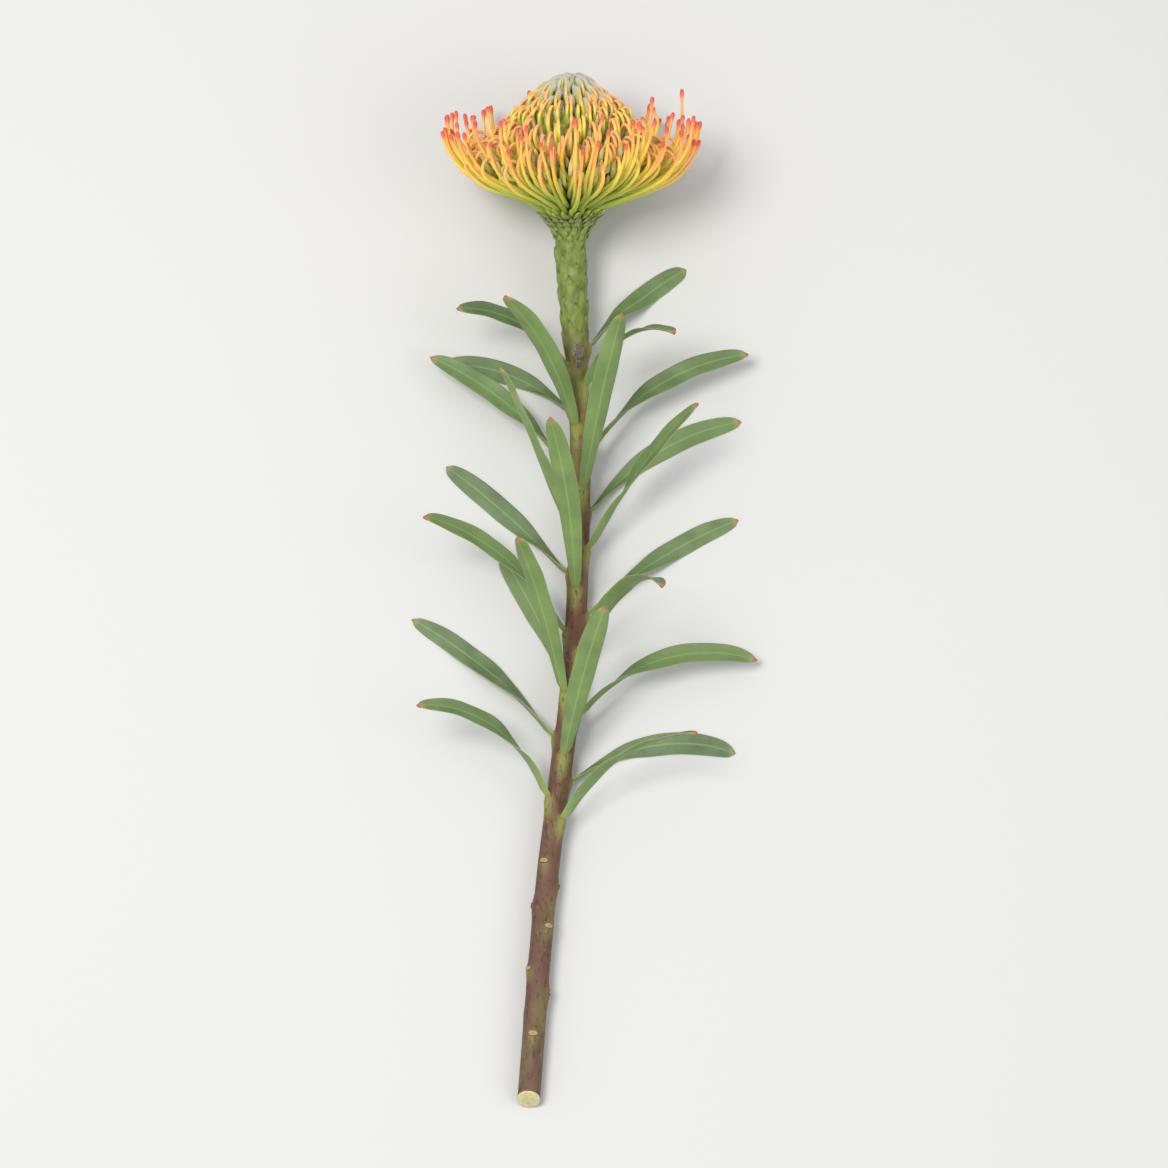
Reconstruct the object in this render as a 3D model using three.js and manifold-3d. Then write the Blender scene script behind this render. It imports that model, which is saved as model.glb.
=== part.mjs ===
// A pincushion protea: one cut flower that lies on its side, bloom towards +Y, cut end towards -Y.
// Millimetres, +Z up. The surface that it lies on is z = 0.

import * as THREE from "three";
import { mergeVertices } from "three/addons/utils/BufferGeometryUtils.js";
import Module from "manifold-3d";

const wasm = await Module();
wasm.setup();

// Stem, measured along it from the foot of the bloom down to the cut end
const STEM_LENGTH = 340;
const NECK_LENGTH = 46;
const NECK_TOP_RADIUS = 5.9;
const NECK_FOOT_RADIUS = 4.7;
const STEM_RADIUS = 3.7;
const CUT_END_RADIUS = 4.1;
const BLOOM_SEAT_RADIUS = 8.6;
const SEAT_FLARE_LENGTH = 9;
const STEM_SIDES = 12;
const STEM_STEPS = 26;
const CUT_SLANT = 2.2;

// How the flower lies
const BLOOM_TILT = THREE.MathUtils.degToRad(28);
const SEAT_HEIGHT = 22.5;
const FLOOR_BLEND = 3;

// Bloom, in heights above its foot along its own axis and in radii from that axis
const BLOOM_DEPTH = 54;
const CROWN_SLOPE = 0.9;
const CROWN_ROUNDING = 9;
const RECEPTACLE_RADIUS = 8.8;
const RECEPTACLE_SIDES = 18;
const GAP = 0.3;

const RIM_STYLES = 48;
const RIM_FOOT = 2.6;
const RIM_TOP = 11.5;
const RIM_REACH = 49.5;
const STYLE_RADIUS = 1.3;
const PRESENTER_RADIUS = 1.15;
const PRESENTER_START = 0.92;
const STYLE_SHARES = [0, 0.2, 0.39, 0.56, 0.71, 0.83, 0.92, 0.95, 1];

const RING_STYLES = 62;
const SPRUNG_EVERY = 7;
const RING_TOP = 35.5;
const RING_OUTER_RADIUS = 36.5;
const RING_INNER_RADIUS = 22;
const RING_CROWDING = 1.15;
const RING_RIBS = 14;
const RIB_DEPTH = 0.14;
const RING_CORE_RADIUS = 25.5;
const RING_CORE_INSET = 11;
const OUTER_LOOP_WIDTH = 7.8;
const INNER_LOOP_WIDTH = 4;
const LOOP_RADIUS = 1.3;
const KNOB_RADIUS = 1.6;
const LOOP_SHARES = [0, 0.28, 0.42, 0.53, 0.63, 0.73, 0.84, 1];

const BUDS = 46;
const DOME_RADIUS = 15.8;
const DOME_FOOT_RADIUS = 15.8;
const DOME_CORE_RADIUS = 13;
const DOME_CORE_INSET = 3.6;
const BUD_RADIUS = 1.45;
const BUD_KNOB_RADIUS = 1.8;

const BRACTS_PER_ROW = 11;
const BRACT_LENGTH = 5.2;
const BRACT_WIDTH = 3.8;
const COLLAR_DEPTH = 5;
const COLLAR_SIDES = 16;

const NECK_SCALES = 34;
const SCALE_LENGTH = 4.2;
const SCALE_WIDTH = 2.7;
const SCALE_HEIGHT = 1;

// Leaves
const LEAVES = 24;
const FIRST_LEAF_TURN = THREE.MathUtils.degToRad(140);
const FIRST_LEAF = 50;
const LEAF_SPACING = 8;
const UNDERSIDE_FOLD = 0.76;
const LEAF_LENGTH = 70;
const LEAF_WIDTH = 8.6;
const LEAF_THICKNESS = 1;
const LEAF_EDGE_THICKNESS = 0.6;
const LEAF_STEPS = 11;
const LEAF_SWEEP = THREE.MathUtils.degToRad(24);
const LEAF_TROUGH = 0.22;

// Small side buds on the stem, each given by its distance below the bloom and its turn
const SIDE_BUDS = [[57, 5], [70, -58], [95, 28]];
const SIDE_BUD_LENGTH = 7;
const SIDE_BUD_RADIUS = 2.1;

const GOLDEN_ANGLE = Math.PI * (3 - Math.sqrt(5));
const TAU = Math.PI * 2;

const COLOURS = {
  stem: "#7f8a3c",
  bracts: "#8a9a5a",
  rimStyles: "#f2b63a",
  ringStyles: "#f2914a",
  budDome: "#9db05a",
  leaf: "#5d8a5c",
  sideBud: "#5f5348",
};

// Varies a trait of one repeat: the same index and trait give the same number between -1 and 1
function vary(index, trait) {
  const value = Math.sin(index * 12.9898 + trait * 78.233) * 43758.5453;
  return 2 * (value - Math.floor(value)) - 1;
}

function mix(from, to, share) {
  return from + (to - from) * share;
}

function smooth(from, to, value) {
  return THREE.MathUtils.smoothstep(value, from, to);
}

// Bends what would sink into the surface so that it lies along it
function lift(point, restHeight) {
  const depth = point.z - restHeight;
  if (depth < FLOOR_BLEND) {
    const above = Math.max(depth + FLOOR_BLEND, 0);
    point.z = restHeight + (above * above) / (4 * FLOOR_BLEND);
  }
  return point;
}

// Joins rings of points into one closed skin with a pole at each end. A blade's two faces are
// split into triangles alike, so that they stay the same distance apart where it is waved.
function skin(rings, firstPole, lastPole, isBlade = false) {
  const sides = rings[0].length;
  const points = [firstPole, ...rings.flat(), lastPole];
  const faces = [];
  for (let side = 0; side < sides; side += 1) {
    const next = (side + 1) % sides;
    faces.push(0, 1 + next, 1 + side);
    const lastRing = 1 + (rings.length - 1) * sides;
    faces.push(points.length - 1, lastRing + side, lastRing + next);
    for (let ring = 0; ring + 1 < rings.length; ring += 1) {
      const low = 1 + ring * sides;
      const high = low + sides;
      if (isBlade && side >= sides / 2) {
        faces.push(low + side, low + next, high + side);
        faces.push(high + side, low + next, high + next);
      } else {
        faces.push(low + side, low + next, high + next);
        faces.push(low + side, high + next, high + side);
      }
    }
  }
  const geometry = new THREE.BufferGeometry().setFromPoints(points);
  geometry.setIndex(faces);
  return geometry;
}

// A tapered tube through centres, with one flat side turned along the given sideways direction
function tube(centres, radii, sideways, sides) {
  const rings = centres.map((centre, index) => {
    const before = centres[Math.max(index - 1, 0)];
    const after = centres[Math.min(index + 1, centres.length - 1)];
    const along = after.clone().sub(before).normalize();
    const across = sideways.clone().addScaledVector(along, -sideways.dot(along)).normalize();
    const outward = new THREE.Vector3().crossVectors(along, across);
    return Array.from({ length: sides }, (_, side) => {
      const angle = (TAU * side) / sides;
      const point = centre.clone();
      point.addScaledVector(across, radii[index] * Math.cos(angle));
      point.addScaledVector(outward, radii[index] * Math.sin(angle));
      point.z = Math.max(point.z, 0);
      return point;
    });
  });
  return skin(rings, centres[0], centres[centres.length - 1]);
}

function solidOf(geometry) {
  const bare = geometry.clone();
  bare.deleteAttribute("normal");
  bare.deleteAttribute("uv");
  const merged = mergeVertices(bare);
  const vertProperties = new Float32Array(merged.attributes.position.array);
  const triVerts = new Uint32Array(merged.index.array);
  return new wasm.Manifold(new wasm.Mesh({ numProp: 3, vertProperties, triVerts }));
}

function geometryOf(solid) {
  const mesh = solid.getMesh();
  const geometry = new THREE.BufferGeometry();
  geometry.setAttribute("position", new THREE.BufferAttribute(mesh.vertProperties, 3));
  geometry.setIndex(new THREE.BufferAttribute(mesh.triVerts, 1));
  geometry.computeVertexNormals();
  return geometry;
}

// Fuses repeats to what they grow from, and fills the small hollows that they seal between them
function fuse(core, repeats) {
  const fused = repeats.reduce((sum, repeat) => sum.add(solidOf(repeat)), solidOf(core));
  const [largest] = fused.decompose().sort((one, other) => other.volume() - one.volume());
  return geometryOf(largest);
}

function named(name, geometry, colour, roughness) {
  const material = new THREE.MeshStandardMaterial({ color: colour, roughness, metalness: 0 });
  const mesh = new THREE.Mesh(geometry, material);
  mesh.name = name;
  return mesh;
}

// The stem's own line: it rises from the cut end and bends up into the bloom
const axisDirection = new THREE.Vector3(0, Math.cos(BLOOM_TILT), Math.sin(BLOOM_TILT));
const seat = new THREE.Vector3(0, 0, SEAT_HEIGHT);
const stemLine = new THREE.CatmullRomCurve3([
  new THREE.Vector3(-15, -STEM_LENGTH * 0.985, CUT_END_RADIUS),
  new THREE.Vector3(-9, -STEM_LENGTH * 0.76, 6.2),
  new THREE.Vector3(1, -STEM_LENGTH * 0.5, 7.4),
  new THREE.Vector3(3.5, -STEM_LENGTH * 0.26, 8.6),
  new THREE.Vector3(1.6, -STEM_LENGTH * 0.12, 12.2),
  seat.clone().addScaledVector(axisDirection, -14),
  seat.clone().addScaledVector(axisDirection, -GAP),
]);
stemLine.arcLengthDivisions = 400;
const stemRun = stemLine.getLength();

function stemRadius(below) {
  const neck = mix(NECK_TOP_RADIUS, NECK_FOOT_RADIUS, smooth(0, NECK_LENGTH, below));
  const bare = mix(STEM_RADIUS, CUT_END_RADIUS, below / stemRun);
  const shaft = mix(neck, bare, smooth(NECK_LENGTH * 0.8, NECK_LENGTH * 1.5, below));
  return mix(BLOOM_SEAT_RADIUS, shaft, smooth(-1, SEAT_FLARE_LENGTH, below));
}

// The place, direction and outward side of the stem's surface at a distance below the bloom
function stemStation(below, turn) {
  const share = 1 - below / stemRun;
  const centre = stemLine.getPointAt(share);
  const along = stemLine.getTangentAt(share);
  const sideways = new THREE.Vector3(1, 0, 0).addScaledVector(along, -along.x).normalize();
  const upward = new THREE.Vector3().crossVectors(sideways, along);
  const outward = upward.multiplyScalar(Math.cos(turn)).addScaledVector(sideways, Math.sin(turn));
  return { centre, along, outward, radius: stemRadius(below) };
}

function stemShaft() {
  const rings = [];
  for (let step = 0; step <= STEM_STEPS; step += 1) {
    const below = stemRun * (1 - step / STEM_STEPS) ** 1.25;
    const ring = [];
    for (let side = 0; side < STEM_SIDES; side += 1) {
      const station = stemStation(below, (TAU * side) / STEM_SIDES);
      const point = station.centre.clone().addScaledVector(station.outward, station.radius);
      if (step === 0) {
        point.addScaledVector(station.along, CUT_SLANT * Math.cos((TAU * side) / STEM_SIDES));
      }
      point.z = Math.max(point.z, 0);
      ring.push(point);
    }
    rings.push(ring);
  }
  return skin(rings, stemLine.getPointAt(0), stemLine.getPointAt(1));
}

// A small pointed scale that lies on a surface, its root sunk and its tip lifted off
function scale(root, along, outward, length, width, height) {
  const sideways = new THREE.Vector3().crossVectors(along, outward);
  const at = (forward, across, up) => {
    const point = root.clone().addScaledVector(along, forward);
    return point.addScaledVector(sideways, across).addScaledVector(outward, up);
  };
  const foot = [at(0, -width / 2, -height), at(0, 0, height * 0.6), at(0, width / 2, -height)];
  const middle = [
    at(length * 0.5, -width * 0.4, -height * 0.6),
    at(length * 0.5, 0, height),
    at(length * 0.5, width * 0.4, -height * 0.6),
  ];
  return skin([foot, middle], at(0, 0, -height * 0.4), at(length, 0, height * 0.9));
}

function stemSolid() {
  const scales = [];
  for (let index = 0; index < NECK_SCALES; index += 1) {
    const below = mix(SEAT_FLARE_LENGTH * 1.1, NECK_LENGTH * 1.15, (index + 0.5) / NECK_SCALES);
    const { centre, along, outward, radius } = stemStation(below, index * GOLDEN_ANGLE);
    const root = centre.clone().addScaledVector(outward, radius);
    scales.push(scale(root, along, outward, SCALE_LENGTH, SCALE_WIDTH, SCALE_HEIGHT));
  }
  return fuse(stemShaft(), scales);
}

// A point of the bloom from its radius, its turn about the bloom's axis and its height along it
function bloomPoint(radius, turn, height) {
  const point = new THREE.Vector3(radius * Math.cos(turn), radius * Math.sin(turn), height);
  return point.applyAxisAngle(new THREE.Vector3(1, 0, 0), BLOOM_TILT - Math.PI / 2).add(seat);
}

function bloomDirection(radius, turn, height) {
  return bloomPoint(radius, turn, height).sub(seat).normalize();
}

// The height of the pincushion's crown at a radius
function crown(radius) {
  return BLOOM_DEPTH - CROWN_SLOPE * (Math.hypot(radius, CROWN_ROUNDING) - CROWN_ROUNDING);
}

// A profile turned about the bloom's axis, with every other side pulled in by a share of its radius
function turned(profile, sides, ribDepth = 0) {
  const points = profile.map(([radius, height]) => new THREE.Vector2(radius, height));
  const lathe = new THREE.LatheGeometry(points, sides);
  const position = lathe.attributes.position;
  for (let index = 0; index < position.count; index += 1) {
    const side = Math.floor(index / points.length) % sides;
    const share = side % 2 === 1 ? 1 - ribDepth : 1;
    position.setX(index, position.getX(index) * share);
    position.setZ(index, position.getZ(index) * share);
  }
  lathe.rotateX(BLOOM_TILT);
  lathe.translate(seat.x, seat.y, seat.z);
  return lathe;
}

// A tube that follows places [radius, height] in the bloom, with a little sideways drift
function bloomTube(places, radii, turn, drift) {
  const across = bloomPoint(1, turn + Math.PI / 2, 0).sub(seat);
  const centres = places.map(([radius, height], index) => {
    const share = index / (places.length - 1);
    const point = bloomPoint(radius, turn, height).addScaledVector(across, drift * share * share);
    return lift(point, radii[index] * 0.6);
  });
  return tube(centres, radii, across, 3);
}

// Places along a smooth line through key places [radius, height], at shares of its length
function placesAlong(keys, shares) {
  const points = keys.map(([radius, height]) => new THREE.Vector3(radius, height, 0));
  const line = new THREE.CatmullRomCurve3(points);
  return shares.map((share) => {
    const point = line.getPointAt(share);
    return [point.x, point.y];
  });
}

// A released style's radii: it tapers, and its pollen presenter swells and closes at the tip
function styleRadii(shares) {
  return shares.map((share) => {
    const taper = mix(STYLE_RADIUS, STYLE_RADIUS * 0.62, share);
    const swell = smooth(PRESENTER_START, PRESENTER_START + 0.03, share);
    const close = share > 0.99 ? 0.45 : 1;
    return mix(taper, PRESENTER_RADIUS, swell) * close;
  });
}

// A released style leaves the receptacle low, and curves up to its presenter
function rimStyle(index) {
  const rank = index / (RIM_STYLES - 1);
  const reach = RIM_REACH * (1 + 0.03 * vary(index, 1)) - 2.5 * rank;
  const rise = 1.2 * vary(index, 2);
  const tipHeight = mix(32, 40, rank) + 4 * vary(index, 3);
  const keys = [
    [RECEPTACLE_RADIUS - 1.6, mix(RIM_FOOT, RIM_TOP - 1.5, rank)],
    [reach * 0.48, mix(8.4, 12.6, rank) + rise * 0.4],
    [reach * 0.82, mix(16.5, 20.5, rank) + rise],
    [reach * 0.96, mix(25, 29.5, rank) + rise],
    [reach, tipHeight],
  ];
  const places = placesAlong(keys, STYLE_SHARES);
  return bloomTube(places, styleRadii(STYLE_SHARES), index * GOLDEN_ANGLE, 4 * vary(index, 4));
}

function rimStyles() {
  const profile = [[0, GAP], [BLOOM_SEAT_RADIUS, GAP], [RECEPTACLE_RADIUS, RIM_TOP], [0, RIM_TOP]];
  const styles = Array.from({ length: RIM_STYLES }, (_, index) => rimStyle(index));
  return fuse(turned(profile, RECEPTACLE_SIDES), styles);
}

// The ring's styles all start deep in the crown, the outer ones nearly level and the inner ones upright
function ringRoot(rank, apex, top) {
  return [apex - mix(20, 5, rank), top - mix(11, 13, rank)];
}

// A looped style bows out and over, and its tip is still held in the knob of its floret
function loopedStyle(index, rank, apex, top) {
  const width = mix(OUTER_LOOP_WIDTH, INNER_LOOP_WIDTH, rank);
  const keys = [
    ringRoot(rank, apex, top),
    [apex - mix(3.4, 0.6, rank), top - mix(6.2, 8.6, rank)],
    [apex + 0.8, top - 4],
    [apex - 0.8, top - 0.6],
    [apex - width * 0.5, top],
    [apex - width * 0.9, top - 2.6],
    [apex - width * 1.02, top - mix(5, 6, rank)],
    [apex - width * 1.15 - mix(3.5, 0, rank), top - mix(8.5, 11.5, rank)],
  ];
  const places = placesAlong(keys, LOOP_SHARES);
  const radii = LOOP_SHARES.map((share) => mix(LOOP_RADIUS, LOOP_RADIUS * 0.85, share));
  radii[LOOP_SHARES.length - 3] = KNOB_RADIUS;
  radii[LOOP_SHARES.length - 2] = KNOB_RADIUS;
  return bloomTube(places, radii, index * GOLDEN_ANGLE, 2 * vary(index, 7));
}

// A style of the ring that has just sprung free stands out between the loops
function sprungStyle(index, rank, apex, top) {
  const keys = [
    ringRoot(rank, apex, top),
    [apex, top - 6],
    [apex + 3.5, top + 2],
    [apex + 3 + 2 * vary(index, 6), top + 8.5],
  ];
  const places = placesAlong(keys, LOOP_SHARES);
  const radii = LOOP_SHARES.map((share) => mix(LOOP_RADIUS, LOOP_RADIUS * 0.7, share));
  radii[LOOP_SHARES.length - 2] = PRESENTER_RADIUS;
  radii[LOOP_SHARES.length - 1] = PRESENTER_RADIUS * 0.45;
  return bloomTube(places, radii, index * GOLDEN_ANGLE, 3 * vary(index, 7));
}

function ringStyle(index) {
  const rank = index / (RING_STYLES - 1);
  const even = mix(RING_OUTER_RADIUS, RING_INNER_RADIUS, rank ** RING_CROWDING);
  const apex = even + 0.8 * vary(index, 5);
  const top = crown(apex) + 0.8 * vary(index, 6);
  const isSprung = index % SPRUNG_EVERY === SPRUNG_EVERY - 1 && rank < 0.6;
  return isSprung ? sprungStyle(index, rank, apex, top) : loopedStyle(index, rank, apex, top);
}

// The ring's core is the dense mass of floret tubes that the loops stand out of
function ringStyles() {
  const foot = RIM_TOP + GAP;
  const profile = [
    [0, foot],
    [RECEPTACLE_RADIUS, foot],
    [RING_CORE_RADIUS * 0.72, mix(foot, RING_TOP, 0.17)],
    [RING_CORE_RADIUS * 0.94, mix(foot, RING_TOP, 0.32)],
    [RING_CORE_RADIUS, mix(foot, RING_TOP, 0.44)],
  ];
  for (let step = 0; step < 4; step += 1) {
    const radius = mix(RING_CORE_RADIUS - 0.6, DOME_CORE_RADIUS + 2.2, step / 3);
    profile.push([radius, crown(radius) - RING_CORE_INSET]);
  }
  profile.push([DOME_CORE_RADIUS, RING_TOP], [0, RING_TOP]);
  const styles = Array.from({ length: RING_STYLES }, (_, index) => ringStyle(index));
  return fuse(turned(profile, RING_RIBS * 2, RIB_DEPTH), styles);
}

// A closed floret of the dome: a tube that bends inwards and ends in a woolly knob
function bud(index) {
  const radius = DOME_RADIUS * Math.sqrt((index + 0.5) / BUDS);
  const top = crown(radius) - BUD_KNOB_RADIUS * 0.6 + 0.5 * vary(index, 8);
  const places = [
    [radius * 0.72, top - 6.6],
    [radius * 0.92 + 0.4, top - 5.6],
    [radius + 0.9, top - 3.9],
    [radius + 0.6, top - 2],
    [radius - 0.2, top - 0.2],
    [Math.max(radius - 1.3, 0), top + 1],
  ];
  const radii = [
    BUD_RADIUS,
    BUD_RADIUS,
    BUD_RADIUS,
    BUD_KNOB_RADIUS,
    BUD_KNOB_RADIUS * 0.95,
    BUD_KNOB_RADIUS * 0.4,
  ];
  return bloomTube(places, radii, index * GOLDEN_ANGLE, vary(index, 9));
}

function budDome() {
  const foot = RING_TOP + GAP;
  const waist = crown(DOME_CORE_RADIUS) - DOME_CORE_INSET - 4;
  const profile = [[0, foot], [DOME_FOOT_RADIUS, foot], [DOME_CORE_RADIUS, waist]];
  for (let step = 0; step <= 3; step += 1) {
    const radius = DOME_CORE_RADIUS * (1 - step / 3.6);
    profile.push([radius * 0.98, crown(radius) - DOME_CORE_INSET]);
  }
  profile.push([0, BLOOM_DEPTH - DOME_CORE_INSET]);
  const buds = Array.from({ length: BUDS }, (_, index) => bud(index));
  return fuse(turned(profile, RECEPTACLE_SIDES), buds);
}

// Bracts: a collar that follows the flare of the neck, with two rows of pointed scales
function bracts() {
  const clear = (below) => stemRadius(below) + 1.5 * GAP;
  const foot = clear(COLLAR_DEPTH);
  const rim = BLOOM_SEAT_RADIUS + GAP;
  const profile = [
    [foot, -COLLAR_DEPTH],
    [foot + 0.9, 0.6 - COLLAR_DEPTH],
    [rim + 0.9, 0],
    [rim, 1],
    [rim, -0.8],
    [foot, -COLLAR_DEPTH],
  ];
  const collar = turned(profile, COLLAR_SIDES);
  const scales = [];
  for (let index = 0; index < BRACTS_PER_ROW * 2; index += 1) {
    const row = index % 2;
    const turn = (Math.PI * index) / BRACTS_PER_ROW;
    const height = row * 2 - 4.2;
    const root = bloomPoint(clear(-height) + 0.5, turn, height);
    const climb = 1.7 - row * 0.5 + 0.15 * vary(index, 10);
    const along = bloomDirection(1, turn, climb);
    const outward = bloomDirection(climb, turn, -1);
    scales.push(scale(root, along, outward, BRACT_LENGTH * (1 - row * 0.15), BRACT_WIDTH, 0.8));
  }
  return fuse(collar, scales);
}

// Half the width of a leaf at a share of its length: a strap with a narrower foot and a blunt tip
function leafHalfWidth(share) {
  const widest = 0.55;
  const foot = 0.46;
  if (share < widest) {
    return (LEAF_WIDTH / 2) * mix(foot, 1, Math.sin((Math.PI / 2) * (share / widest)) ** 1.3);
  }
  return (LEAF_WIDTH / 2) * Math.sqrt(1 - 0.93 * ((share - widest) / (1 - widest)) ** 3.4);
}

function middleOf(points) {
  const sum = points.reduce((total, point) => total.add(point), new THREE.Vector3());
  return sum.divideScalar(points.length);
}

// A leaf arches away from the stem, turns its face up on its way, and lies on the surface below it
function leaf(index) {
  const below = FIRST_LEAF + LEAF_SPACING * index;
  const spiral = FIRST_LEAF_TURN + index * GOLDEN_ANGLE;
  const turn = Math.atan2(Math.sin(spiral), Math.cos(spiral)) * UNDERSIDE_FOLD;
  const { centre, along, outward, radius } = stemStation(below, turn);
  const size = mix(0.76, 1, smooth(0, 7, index)) * (1 + 0.08 * vary(index, 11));
  const length = LEAF_LENGTH * size;
  const start = THREE.MathUtils.degToRad(38 + 8 * vary(index, 12));
  const bend = THREE.MathUtils.degToRad(48 + 34 * vary(index, 13));
  const faceUp = smooth(0.35, 1.4, Math.abs(turn)) * (0.85 + 0.15 * vary(index, 14));
  const droop = 6 + 4 * vary(index, 15);
  const sweep = LEAF_SWEEP * vary(index, 16);
  const sideways = new THREE.Vector3().crossVectors(along, outward);
  const rib = [centre.clone().addScaledVector(outward, radius + GAP + LEAF_THICKNESS / 2)];
  const directions = [];
  for (let step = 0; step < LEAF_STEPS; step += 1) {
    const share = (step + 0.5) / LEAF_STEPS;
    const angle = start + bend * share;
    const direction = along.clone().multiplyScalar(Math.cos(angle));
    direction.addScaledVector(outward, Math.sin(angle));
    direction.addScaledVector(sideways, Math.tan(sweep * share)).normalize();
    directions.push(direction);
    rib.push(rib[step].clone().addScaledVector(direction, length / LEAF_STEPS));
  }
  directions.push(directions[LEAF_STEPS - 1]);
  const rings = rib.map((place, step) => {
    const share = step / LEAF_STEPS;
    const direction = directions[step];
    const level = new THREE.Vector3(0, 0, 1).cross(direction).normalize();
    const across = sideways.clone().lerp(level, faceUp * smooth(0, 0.6, share)).normalize();
    const face = new THREE.Vector3().crossVectors(direction, across).normalize();
    const half = leafHalfWidth(share);
    const middle = place.clone();
    middle.z -= droop * share * share;
    const trough = half * LEAF_TROUGH;
    const left = middle.clone().addScaledVector(across, -half).addScaledVector(face, trough);
    const right = middle.clone().addScaledVector(across, half).addScaledVector(face, trough);
    [left, middle, right].forEach((point) => lift(point, LEAF_THICKNESS / 2));
    const offset = (point, thickness) => {
      const shifted = point.clone().addScaledVector(face, thickness / 2);
      shifted.z = Math.max(shifted.z, 0);
      return shifted;
    };
    return [
      offset(right, LEAF_EDGE_THICKNESS),
      offset(middle, LEAF_THICKNESS),
      offset(left, LEAF_EDGE_THICKNESS),
      offset(left, -LEAF_EDGE_THICKNESS),
      offset(middle, -LEAF_THICKNESS),
      offset(right, -LEAF_EDGE_THICKNESS),
    ];
  });
  const first = middleOf(rings[0]);
  const tip = middleOf(rings[LEAF_STEPS]).addScaledVector(directions[LEAF_STEPS], 0.8);
  tip.z = Math.max(tip.z, 0.1);
  return skin(rings, first, tip, true);
}

// A side bud: a small woolly egg on a short stalk, pressed towards the stem
function sideBud(below, degrees) {
  const { centre, along, outward, radius } = stemStation(below, THREE.MathUtils.degToRad(degrees));
  const sideways = new THREE.Vector3().crossVectors(along, outward);
  const direction = along.clone().addScaledVector(outward, 0.5).normalize();
  const shares = [0, 0.2, 0.42, 0.68, 0.9, 1];
  const widths = [0.36, 0.42, 1, 0.95, 0.5, 0.15];
  const root = centre.clone().addScaledVector(outward, radius + widths[0] * SIDE_BUD_RADIUS + GAP);
  const centres = shares.map((share) => root.clone().addScaledVector(direction, share * SIDE_BUD_LENGTH));
  const radii = widths.map((width) => width * SIDE_BUD_RADIUS);
  return tube(centres, radii, sideways, 6);
}

const flower = new THREE.Group();
flower.add(named("stem", stemSolid(), COLOURS.stem, 0.6));
flower.add(named("bracts", bracts(), COLOURS.bracts, 0.75));
flower.add(named("rim_styles", rimStyles(), COLOURS.rimStyles, 0.45));
flower.add(named("ring_styles", ringStyles(), COLOURS.ringStyles, 0.45));
flower.add(named("bud_dome", budDome(), COLOURS.budDome, 0.85));
for (let index = 0; index < LEAVES; index += 1) {
  const name = `leaf_${String(index + 1).padStart(2, "0")}`;
  flower.add(named(name, leaf(index), COLOURS.leaf, 0.6));
}

SIDE_BUDS.forEach(([below, degrees], index) => {
  flower.add(named(`side_bud_${index + 1}`, sideBud(below, degrees), COLOURS.sideBud, 0.9));
});

// The origin is the middle of the box that the flower fills, at the surface it lies on
const box = new THREE.Box3().setFromObject(flower, true);
flower.position.set(-(box.min.x + box.max.x) / 2, -(box.min.y + box.max.y) / 2, 0);

export default flower;
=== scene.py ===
# %% [markdown]
# # A pincushion protea, cut and laid down
#
# This lesson dresses a plain, faceted model of one cut flower with the pieces that the eye knows it by:
# curved yellow styles with red tips, salmon loops, woolly buds, narrow leathery leaves and a green neck.
# The plain model fixes where everything is. Each fine piece below follows the same lines, so it lies where
# its plain one lies, and hides it.

# %% Load the plain flower
import math

import bmesh
import bpy
from mathutils import Matrix, Vector


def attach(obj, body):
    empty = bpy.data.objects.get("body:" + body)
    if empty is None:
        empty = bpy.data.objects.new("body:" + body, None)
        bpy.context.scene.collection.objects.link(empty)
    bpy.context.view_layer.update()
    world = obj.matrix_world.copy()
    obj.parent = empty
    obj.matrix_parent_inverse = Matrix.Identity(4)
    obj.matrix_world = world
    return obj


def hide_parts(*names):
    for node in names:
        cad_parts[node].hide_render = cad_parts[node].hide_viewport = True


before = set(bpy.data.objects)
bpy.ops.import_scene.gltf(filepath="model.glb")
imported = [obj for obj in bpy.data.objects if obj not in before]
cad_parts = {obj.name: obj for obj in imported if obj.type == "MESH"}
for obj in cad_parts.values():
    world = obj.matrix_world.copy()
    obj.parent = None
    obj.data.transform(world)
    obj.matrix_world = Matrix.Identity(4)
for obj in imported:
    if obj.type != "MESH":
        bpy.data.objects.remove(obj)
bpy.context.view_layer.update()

# %% [markdown]
# ## Camera
#
# The flower lies on its side, so a camera above it sees what one in front of a standing flower sees. It
# leans back a little towards the cut end, and looks into the bloom from just above its rim. A long lens
# keeps the bloom and the cut end at nearly one scale.

# %% Place the camera
CAMERA_LEAN = math.radians(18)
CAMERA_DISTANCE = 1.75
VIEW_MIDDLE = Vector((0, -0.004, 0.02))


def add_object(name, data):
    added = bpy.data.objects.new(name, data)
    bpy.context.scene.collection.objects.link(added)
    return added


camera_data = bpy.data.cameras.new("camera")
camera_data.lens = 146
camera_data.sensor_width = 36
camera = add_object("camera", camera_data)
camera.rotation_euler = (CAMERA_LEAN, 0, 0)
sight = Vector((0, -math.sin(CAMERA_LEAN), math.cos(CAMERA_LEAN)))
camera.location = VIEW_MIDDLE + sight * CAMERA_DISTANCE
bpy.context.scene.camera = camera
print("camera at", [round(place, 3) for place in camera.location])

# %% [markdown]
# ## Light and floor
#
# A large soft lamp from the upper left gives the styles a bright side and a shaded side, a second one from
# the right fills the shade, and a pale world lifts the rest. One flat floor is enough: it catches the soft
# shadow that shows where the flower touches.

# %% Set up the lamps and the world
LAMP_TARGET = Vector((0, 0.05, 0))


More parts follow.
